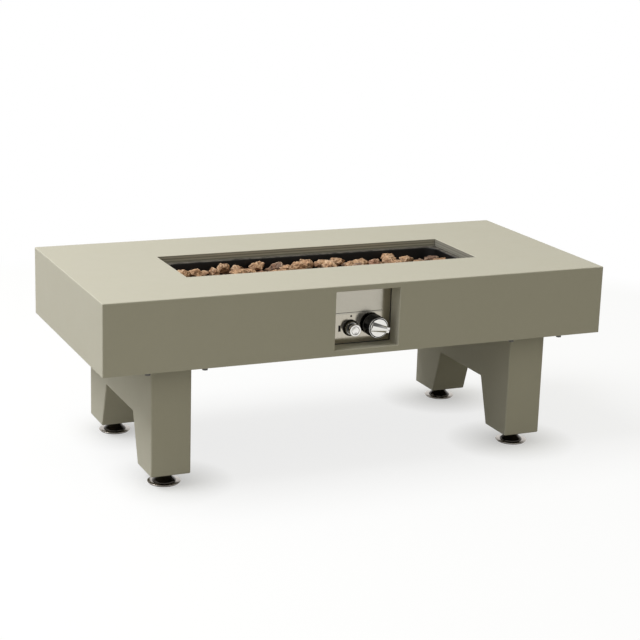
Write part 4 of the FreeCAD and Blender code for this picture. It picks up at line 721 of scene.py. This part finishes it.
def grown_loop(shape, ring, form, new_form, height):
    """Extrude a rounded ring into the next one, which has other half sizes and corners."""
    fresh = verts_of(bmesh.ops.extrude_edge_only(shape, edges=edges_within(ring)))
    for vert in fresh:
        for axis in (0, 1):
            corner = math.copysign(form[axis] - form[2], vert.co[axis])
            new_corner = math.copysign(new_form[axis] - new_form[2], vert.co[axis])
            vert.co[axis] = new_corner + (vert.co[axis] - corner) * new_form[2] / form[2]
        vert.co.z = height
    return fresh


def lofted(shape, forms):
    """A skin through rounded rings, each given as its form and its height."""
    (form, height), *rest = forms
    ring = rounded_loop(shape, form, height)
    for new_form, height in rest:
        ring = grown_loop(shape, ring, form, new_form, height)
        form = new_form
    return ring


# operators


class FIREPIT_OT_finishes(bpy.types.Operator):
    """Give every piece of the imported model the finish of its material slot"""

    bl_idname = "firepit.finishes"
    bl_label = "Finish the packed pieces"

    def execute(self, context):
        for part in frame["record"]["subparts"]:
            piece = frame["nodes"][part["node"]]
            material = finish(part["material_slot"])
            if not piece.material_slots:
                piece.data.materials.append(material)
            for slot in piece.material_slots:
                slot.material = material
        return {"FINISHED"}


class FIREPIT_OT_rocks(bpy.types.Operator):
    """Break up the plain stones in the pan into rough, pitted lava rock"""

    bl_idname = "firepit.rocks"
    bl_label = "Lava rocks"
    dents, knobs, pores, cracks = 48.0, 150.0, 190.0, 105.0  # how fine each is, per metre

    def execute(self, context):
        for name in ROCK_NODES:
            shape = bmesh.new()
            shape.from_mesh(frame["nodes"][name].data)
            bmesh.ops.remove_doubles(shape, verts=shape.verts, dist=1e-6)
            self.cut(shape, context.scene.fire_pit_sizes)
            self.erode(shape, context.scene.fire_pit_sizes)
            show(name + "_rough", shape, ["lava_rock"], "table", name, 80)
        return {"FINISHED"}

    def cut(self, shape, sizes):
        """Tint each stone, cut its faces up and round them off, and grow it to make up for that."""
        tints = shape.verts.layers.float.new("tint")
        shown, hidden = [], []
        for stone in self.stones(shape):
            tint = noise.cell(self.middle(stone) * ROCK_FLUTTER)
            for vert in stone:
                vert[tints] = tint
            seen = max(vert.co.z for vert in stone) > ROCK_SHOWN
            (shown if seen else hidden).extend(edges_within(stone))
        for edges, cuts in ((hidden, sizes.rock_cuts // 3), (shown, sizes.rock_cuts)):
            bmesh.ops.subdivide_edges(shape, edges=edges, cuts=cuts, use_grid_fill=True)
        for _ in range(2):
            bmesh.ops.smooth_vert(shape, verts=shape.verts, factor=0.5, use_axis_x=True,
                                  use_axis_y=True, use_axis_z=True)
        bmesh.ops.recalc_face_normals(shape, faces=shape.faces)
        for stone in self.stones(shape):
            bmesh.ops.scale(shape, verts=stone, vec=(sizes.rock_fill,) * 3,
                            space=Matrix.Translation(-self.middle(stone)))
        shape.normal_update()

    def erode(self, shape, sizes):
        """Sink broad dents, pits and cracks, and note for the finish which vertices lie in pits and
        cracks, for painted shade, and which on ridges, for a painted highlight.
        """
        hollows = shape.verts.layers.float.new("hollow")
        smears_and_rim_light = shape.verts.layers.float.new("smears_and_rim_light")
        moves = []
        for vert in shape.verts:
            ridge = abs(noise.noise(vert.co * self.dents))
            edge = noise.noise(vert.co * self.knobs) * 0.5 + 0.5
            gap = noise.voronoi(vert.co * self.pores)[0][0]
            pit = max(0.0, 1.0 - gap / 0.46) * edge
            split_here = 1.0 - abs(noise.noise(vert.co * self.cracks)) * 4.0
            crack = max(0.0, split_here) * min(1.0, edge * 1.4)
            # pits and cracks are marked for painted shade
            vert[hollows] = min(1.0, pit * 1.5 + crack * crack)
            # ridges away from pits and cracks take the painted highlight
            vert[smears_and_rim_light] = max(0.0, 1.0 - ridge * 7.0) * (1.0 - vert[hollows])
            moves.append(-vert.normal * (ridge * sizes.rock_lump + pit * sizes.rock_pit
                                         + crack * sizes.rock_crack))
        for vert, move in zip(shape.verts, moves):
            vert.co += move

    def middle(self, stone):
        return sum((vert.co for vert in stone), Vector()) / len(stone)

    def stones(self, shape):
        """The separate stones of a node, as lists of vertices, always in the same order."""
        seen = set()
        for first in shape.verts:
            if first in seen:
                continue
            seen.add(first)
            stone, edge = [], [first]
            while edge:
                vert = edge.pop()
                stone.append(vert)
                for link in vert.link_edges:
                    other = link.other_vert(vert)
                    if other not in seen:
                        seen.add(other)
                        edge.append(other)
            yield stone


class FIREPIT_OT_pan(bpy.types.Operator):
    """Press the burner pan from sheet, with bends at its rim and floor"""

    bl_idname = "firepit.pan"
    bl_label = "Burner pan"

    def execute(self, context):
        sizes = context.scene.fire_pit_sizes
        low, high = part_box("burner_pan")
        sheet, flange, corner, lip = 2 * MM, 11 * MM, 25 * MM, 0.5 * MM
        rim_x, rim_y, top, floor = high.x, high.y, high.z, low.z + sheet
        wall_x, wall_y = rim_x - flange, rim_y - flange
        bend, deep = sizes.pan_bend, sizes.pan_floor_bend
        forms = [((rim_x, rim_y, MM), top - lip), ((rim_x - lip, rim_y - lip, MM), top)]
        for turn in self.quarter(8):
            out = bend * (1 - math.sin(turn))
            forms.append(((wall_x + out, wall_y + out, corner + out),
                          top - bend * (1 - math.cos(turn))))
        for turn in self.quarter(6):
            inset = deep * (1 - math.cos(turn))
            forms.append(((wall_x - inset, wall_y - inset, corner - inset),
                          floor + deep * (1 - math.sin(turn))))
        shape = bmesh.new()
        rims = edges_within(lofted(shape, forms))
        for name in PAN_PASSES:
            rims += self.hole(shape, name, floor)
        bmesh.ops.triangle_fill(shape, use_beauty=True, edges=rims)
        bmesh.ops.recalc_face_normals(shape, faces=shape.faces)
        widest = max(shape.faces, key=lambda face: face.calc_area())
        if widest.normal.z > 0:
            bmesh.ops.reverse_faces(shape, faces=shape.faces)
        bmesh.ops.solidify(shape, geom=shape.faces, thickness=sheet * 0.9)
        show("burner_pan_pressed", shape, ["pan_enamel"], "table", "burner_pan", 50)
        return {"FINISHED"}

    def quarter(self, steps):
        return [math.pi / 2 * step / steps for step in range(steps + 1)]

    def hole(self, shape, name, height):
        """The edges of a hole in the floor, where a piece passes through it."""
        low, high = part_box(name)
        middle = (low + high) / 2
        place = Matrix.Translation((middle.x, middle.y, height))
        return edges_within(bmesh.ops.create_circle(
            shape, cap_ends=False, segments=32, matrix=place,
            radius=(high.y - low.y) / 2 + 0.3 * MM)["verts"])


class FIREPIT_OT_feet(bpy.types.Operator):
    """Turn the four chrome levelling feet: a thin rim, a flared dome and a neck"""

    bl_idname = "firepit.feet"
    bl_label = "Levelling feet"

    def execute(self, context):
        profile = [(0, 1.9), (31.6, 1.9), (32.3, 2.2), (32.5, 2.8), (32.2, 3.4), (31.4, 3.7),
                   (24.2, 3.8), (23.1, 3.85), (23.1, 4.5), (22.7, 5.5), (21.6, 6.8), (19.7, 8.4),
                   (17.4, 10.4), (15.3, 12.9), (13.6, 15.7), (12.3, 18.6), (11.3, 21.2),
                   (10.8, 22.6), (10.6, 23.6), (10.6, 25.6), (10.2, 26.0), (5.4, 26.1),
                   (5.4, 20.0), (0, 20.0)]
        for tag in FOOT_PLACES:
            middle = centre_of(f"foot_pad_{tag}")
            shape = turned(profile)
            second_finish(shape, lambda radius, height: radius < 23.2 and height > 3.9)
            moved(shape, Matrix.Translation((middle.x, middle.y, 0)))
            show(f"foot_pad_{tag}_turned", shape, ["foot_chrome", "foot_dome"], f"foot_{tag}",
                 f"foot_pad_{tag}", 50)
        return {"FINISHED"}


class FIREPIT_OT_panel(bpy.types.Operator):
    """Lay the bare label, the printed marks and a black strip of painted shadow round the control
    panel
    """

    bl_idname = "firepit.panel"
    bl_label = "Control panel"

    def execute(self, context):
        low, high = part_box("panel_label")
        middle = (low + high) / 2
        place = outward(middle.x, middle.z)
        half_x, half_z = (high.x - low.x) / 2, (high.z - low.z) / 2
        height = panel_front() - low.y
        shape = bmesh.new()
        face = shape.faces.new(rounded_loop(shape, (half_x, half_z, 1.5 * MM), 0.02 * MM))
        raised(shape, face, height - 0.06 * MM)
        show("panel_label_plate", moved(shape, place), ["label_silver"], "table", "panel_label")
        self.print_marks(place, half_x / MM, half_z / MM, height / MM)
        self.lay_gap_shadow(context.scene.fire_pit_sizes, low.x, high.z)
        return {"FINISHED"}

    def print_marks(self, place, half_x, half_z, height):
        """A thin border line along the label's foot, a dot over the igniter and a bar beside it."""
        foot, low, top = 3.4 - half_z, 0.02, 0.08
        line, _ = slab(oblong(-half_x, foot, half_x, foot + 0.9), height - 0.05, height)
        moved(line, place)
        igniter = centre_of("igniter_ring")
        own = outward(igniter.x, igniter.z)
        dot = moved(turned([(0, low), (2.1, low), (2.1, top), (0, top)], 32),
                    own @ Matrix.Translation((0.8 * MM, 23.2 * MM, 0)))
        bar, _ = slab(oblong(-26, -6.4, -20.8, 6.2), low, top)
        show("panel_marks", joined(line, dot, moved(bar, own)), ["ink"], "table")

    def lay_gap_shadow(self, sizes, left, top):
        """A thin black strip round the panel, against the walls of its recess: the painted shadow
        of the gap there.
        """
        spare, half, radius = 0.1 * MM, 58 * MM, 2 * MM
        half_x, half_z = spare - left, half - spare
        wide, tall, base = sizes.gap_shadow_width, sizes.gap_shadow_height, 0.03 * MM
        outer, inner = (half_x, half_z, radius), (half_x - wide, half_z - wide, radius - wide)
        shape = bmesh.new()
        lofted(shape, [(inner, base), (outer, base), (outer, base + tall), (inner, base + tall),
                       (inner, base)])
        tidy(shape)
        moved(shape, outward(0, top + 2 * spare - half))
        # the black strip is painted shadow
        show("panel_gap_shadow", shape, ["control_black"], "table")


class FIREPIT_OT_knob(bpy.types.Operator):
    """Mould the gas knob: a black drum, a chrome face in a groove and a ridged grip"""

    bl_idname = "firepit.knob"
    bl_label = "Gas knob"

    def execute(self, context):
        middle = centre_of("gas_knob")
        place = outward(middle.x, middle.z)
        drum = turned([(0, 23.7), (4.05, 23.7), (4.05, 5.6), (8, 5.6), (8, 13.5), (18, 13.5),
                       (18, 5.6), (20.8, 5.6), (21.7, 6.4), (22, 7.2), (22, 9.6), (21.6, 10.2),
                       (21.45, 11), (21.45, 29.4), (21.1, 30.4), (20.4, 30.95), (0, 30.95)])
        show("gas_knob_drum", moved(drum, place), ["control_black"], "knob", "gas_knob", 35)

        disc = turned([(0, 31.0), (20.4, 31.0), (20.4, 32.0), (20.2, 32.6), (19.8, 32.8),
                       (19.4, 32.6), (19.3, 32.2), (19.3, 31.4), (17.7, 31.4), (17.7, 33.2),
                       (17.5, 33.6), (17.1, 33.8), (0, 33.8)])
        # the groove round the chrome face takes the black finish: painted shade
        second_finish(disc, lambda radius, height: 17.6 < radius < 19.31 and height < 32.9)
        mark, _ = slab(oblong(19.6, -0.5, 21.6, 0.5), 36.9, 37.05)
        second_finish(mark, lambda radius, height: True)
        face = joined(disc, self.grip(), self.tip(), mark)
        pointer = context.scene.fire_pit_sizes.pointer
        moved(face, place @ Matrix.Rotation(-pointer, 4, "Z"))
        show("knob_face_chrome", face, ["control_chrome", "control_black"], "knob", "knob_face", 30)
        return {"FINISHED"}

    def grip(self):
        """A tapered bar whose sides slope up to a narrow land."""
        tail, tip = 10, 6.3
        shape, top = slab([(-16.6, -tail), (18.5, -tip), (18.5, tip), (-16.6, tail)], 33.7, 38.4)
        bmesh.ops.scale(shape, verts=top, vec=(0.96, 0.22, 1))
        break_edges(shape, 0.5 * MM)
        return shape

    def tip(self):
        """The pointer at the grip's end, which stands past the chrome face."""
        shape, top = slab(oblong(15.8, -6.1, 22.5, 6.1), 31.2, 37)
        bmesh.ops.scale(shape, verts=top, vec=(1, 0.9, 1))
        break_edges(shape, 0.8 * MM)
        return shape


class FIREPIT_OT_igniter(bpy.types.Operator):
    """Turn the igniter: bezel and barrel, bevelled ring, chrome cap and its dished button"""

    bl_idname = "firepit.igniter"
    bl_label = "Igniter"

    def execute(self, context):
        middle = centre_of("igniter_ring")
        place = outward(middle.x, middle.z)
        reach = (panel_front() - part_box("igniter_cap")[0].y) / MM

        def from_cap(*points):
            """Points whose heights are given from the cap's front."""
            return [(radius, reach + height) for radius, height in points]

        shapes = {
            "igniter_bezel": (
                [(0, -59.4), (9.8, -59.4), (10.75, -58.6), (10.75, 0.05), (16.3, 0.05),
                 (16.5, 0.4), (16.5, 1.6), (16.1, 2.6), (15.4, 4.6), (15.0, 5.6), (14.6, 5.95),
                 (13.9, 5.95), (12.6, 4.4), (10.8, 4.2),
                 *from_cap((10.75, -2.2), (10.4, -2), (8.2, -2), (8.2, -16), (3.2, -16)),
                 (3.2, 0), (0, 0)], "control_black", "table", "igniter_body"),
            "igniter_bevel": (
                # the ring's chrome is darkened as painted shade
                [(10.9, 4.6), (12.5, 4.8), (14.2, 6.2), (14.4, 6.6), (14.1, 7.1), (12.4, 8.9),
                 (11.9, 9.0), (10.9, 9.0)], "bevel_chrome", "table", "igniter_ring"),
            "igniter_cap_turned": (
                from_cap((8.3, -6.9), (11.7, -6.9), (12.0, -6.5), (12.0, -1.5), (11.7, -0.6),
                         (11.0, -0.1), (10.2, 0), (9.2, -0.1), (8.5, -0.5), (8.25, -1.2)),
                "control_chrome", "table", "igniter_cap"),
            "igniter_button_dished": (
                [(0, 3.5), (2.7, 3.5), (3, 3.8),
                 *from_cap((3, -5.6), (7.5, -5.6), (7.75, -5.2), (7.75, -1.5), (7.5, -1.0),
                           (7.1, -0.85), (6.5, -1.05), (5.3, -1.75), (3.9, -2.35), (2.1, -2.75),
                           (0, -2.85))],
                "control_chrome", "igniter_button", "igniter_button"),
        }
        for name, (profile, slot, body, stands_for) in shapes.items():
            shape = turned(profile)
            if name == "igniter_bezel":
                self.chamber(shape)
            show(name, moved(shape, place), [slot], body, stands_for, 35)
        return {"FINISHED"}

    def chamber(self, shape):
        """The closed hollow in the barrel where the battery lies."""
        low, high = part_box("igniter_battery")
        spare = 0.1 * MM
        radius = (high.x - low.x) / 2 + spare
        place = Matrix.Translation((0, 0, panel_front() - (low.y + high.y) / 2))
        verts = bmesh.ops.create_cone(shape, cap_ends=True, segments=48, matrix=place,
                                      radius1=radius, radius2=radius,
                                      depth=high.y - low.y + 2 * spare)["verts"]
        faces = dict.fromkeys(face for vert in verts for face in vert.link_faces)
        bmesh.ops.reverse_faces(shape, faces=list(faces))


class FIREPIT_OT_springs(bpy.types.Operator):
    """Copy the springs of the knob and the igniter as pieces of their own, in spring steel"""

    bl_idname = "firepit.springs"
    bl_label = "Springs"

    def execute(self, context):
        for joint in frame["joints"]:
            for row in joint.get("deforming_nodes", ()):
                self.coil(joint, row["node"], row["fixed_end_y_m"])
        return {"FINISHED"}

    def coil(self, joint, name, fixed):
        """Copy a spring as a piece of its own on its body, in spring steel, in place of the packed
        one.
        """
        packed = frame["nodes"][name]
        low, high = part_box(name)
        shape = bmesh.new()
        shape.from_mesh(packed.data)
        moved(shape, packed.matrix_world)
        tidy(shape)
        piece = show(name + "_coil", shape, ["spring_steel"], packed["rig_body"], name, 60)
        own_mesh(piece)


class FIREPIT_OT_studio(bpy.types.Operator):
    """Set up the floor, the light and the camera"""

    bl_idname = "firepit.studio"
    bl_label = "Studio"

    def execute(self, context):
        scene, studio = context.scene, context.scene.fire_pit_studio
        self.lay_floor(studio)
        toward = self.direction(studio.key_azimuth, studio.key_elevation)
        self.hang_key(studio, toward)
        self.paint_sky(scene, studio, toward)
        self.aim_camera(scene, studio)
        scene.view_settings.view_transform = "Standard"
        return {"FINISHED"}

    def direction(self, around, up):
        """The way from the table to a place round it from its front, and up."""
        return Vector((math.sin(around) * math.cos(up), -math.cos(around) * math.cos(up),
                       math.sin(up)))

    def lay_floor(self, studio):
        """A white floor: plain to the camera, with a soft shadow, and dimmer in what it bounces."""
        shape = bmesh.new()
        bmesh.ops.create_grid(shape, x_segments=4, y_segments=4, size=60)
        floor = placed("floor", mesh_of("floor", shape))
        material, tree, shader = start_material(Roughness=0.9, Specular_IOR_Level=0.0)
        material.name = "floor_white"
        seen = straight_rays(tree)
        bounce = scaled((1, 0.965, 0.82), studio.floor_bounce)
        tree.links.new(blend(tree, seen, bounce, (0.98, 0.985, 1)), shader.inputs["Base Color"])
        glow = node(tree, "ShaderNodeEmission", {}, {"Color": WHITE, "Strength": 1.0})
        foot = centre_of("foot_pad_back_right")
        corner = vector(tree, "ABSOLUTE", object_place(tree))[0]
        away = vector(tree, "DISTANCE", corner, (foot.x, foot.y, 0))["Value"]
        sole, near, shade_end, white_from = 0.03, 0.14, 0.8, 1.8  # metres from a foot, the middle
        lift = between(tree, away, sole, near, studio.foot_lift, studio.floor_lift)
        far = between(tree, vector(tree, "LENGTH", corner)["Value"], shade_end, white_from)
        shown = times(tree, seen, most(tree, lift, far))
        mix_shaders(tree, shown, shader, glow, tree.nodes["Material Output"])
        floor.data.materials.append(material)

    def hang_key(self, studio, toward):
        """The main light: a disk as wide as its softness asks for at its distance."""
        away = studio.key_distance
        reach = away * math.tan(studio.key_softness / 2)
        lamp = bpy.data.lights.new("key", "AREA")
        lamp.shape = "DISK"
        lamp.size = 2 * reach
        lamp.energy = studio.key * math.pi * (away * away + reach * reach)
        lamp.color = (0.975, 0.985, 1.0)
        key = placed("key", lamp)
        key.location = Vector(studio.target) + toward * away
        key.rotation_euler = toward.to_track_quat("Z", "Y").to_euler()

    def paint_sky(self, scene, studio, toward):
        """Soft light for the table; to the camera and in metal, a white room with a dim ceiling."""
        scene.world = bpy.data.worlds.new("studio")
        scene.world.use_nodes = True
        tree = scene.world.node_tree
        tree.nodes.clear()
        way = node(tree, "ShaderNodeTexCoord").outputs["Generated"]
        parts = split(tree, way)
        facing = vector(tree, "DOT_PRODUCT", way, tuple(toward))["Value"]
        left = between(tree, parts["X"], -0.3, -0.9)
        tone = blend(tree, left, (1, 0.97, 0.77), (0.97, 0.98, 1))
        overhead = between(tree, parts["Z"], 0.0, 0.6, studio.sky * studio.horizon, studio.sky)
        soft = plus(tree, times(tree, left, studio.fill), overhead)
        sky = node(tree, "ShaderNodeBackground", {}, {"Color": tone, "Strength": soft})
        above = maths(tree, "SUBTRACT", between(tree, parts["Z"], 0.3, 0.65),
                      between(tree, facing, 0.82, 0.9), clamp=True)
        shine = between(tree, above, 0.0, 1.0, 1.0, studio.ceiling)
        white = node(tree, "ShaderNodeBackground", {}, {"Color": WHITE, "Strength": shine})
        mix_shaders(tree, straight_rays(tree), sky, white, node(tree, "ShaderNodeOutputWorld"))

    def aim_camera(self, scene, studio):
        back = self.direction(studio.azimuth, studio.elevation)
        right = (-back).cross(Vector((0, 0, 1))).normalized()
        above = right.cross(-back)
        lean, level = math.sin(studio.roll), math.cos(studio.roll)
        side, head = level * right + lean * above, level * above - lean * right
        lens = bpy.data.cameras.new("camera")
        lens.lens = studio.lens
        lens.sensor_width = 36
        lens.clip_end = 200
        scene.camera = placed("camera", lens)
        spot = Vector(studio.target) + back * studio.distance
        turn = Matrix((side, head, back)).transposed().to_4x4()
        scene.camera.matrix_world = Matrix.Translation(spot) @ turn


class FIREPIT_PT_panel(bpy.types.Panel):
    """Lists the table's sizes and colours and the operators that make its pieces"""

    bl_idname = "FIREPIT_PT_panel"
    bl_label = "Fire pit table"
    bl_space_type = "VIEW_3D"
    bl_region_type = "UI"
    bl_category = "Fire pit"

    def draw(self, context):
        scene = context.scene
        for title, settings in (("Colours", scene.fire_pit_colours),
                                ("Sizes", scene.fire_pit_sizes),
                                ("Studio", scene.fire_pit_studio)):
            box = self.layout.box()
            box.label(text=title)
            for name in settings.__annotations__:
                box.prop(settings, name)
        for operator in OPERATORS:
            self.layout.operator(operator.bl_idname)


OPERATORS = (FIREPIT_OT_finishes, FIREPIT_OT_rocks, FIREPIT_OT_pan, FIREPIT_OT_feet,
             FIREPIT_OT_panel, FIREPIT_OT_knob, FIREPIT_OT_igniter, FIREPIT_OT_springs,
             FIREPIT_OT_studio)
CLASSES = (FirePitColours, FirePitSizes, FirePitStudio, *OPERATORS, FIREPIT_PT_panel)


def register():
    for item in CLASSES:
        bpy.utils.register_class(item)
    bpy.types.Scene.fire_pit_colours = PointerProperty(type=FirePitColours)
    bpy.types.Scene.fire_pit_sizes = PointerProperty(type=FirePitSizes)
    bpy.types.Scene.fire_pit_studio = PointerProperty(type=FirePitStudio)


def unregister():
    del bpy.types.Scene.fire_pit_studio
    del bpy.types.Scene.fire_pit_sizes
    del bpy.types.Scene.fire_pit_colours
    for item in reversed(CLASSES):
        bpy.utils.unregister_class(item)


def main():
    register()
    bpy.ops.firepit.finishes()
    bpy.ops.firepit.rocks()
    bpy.ops.firepit.pan()
    bpy.ops.firepit.feet()
    bpy.ops.firepit.panel()
    bpy.ops.firepit.knob()
    bpy.ops.firepit.igniter()
    bpy.ops.firepit.springs()
    bpy.ops.firepit.studio()


if __name__ == "__main__":
    main()
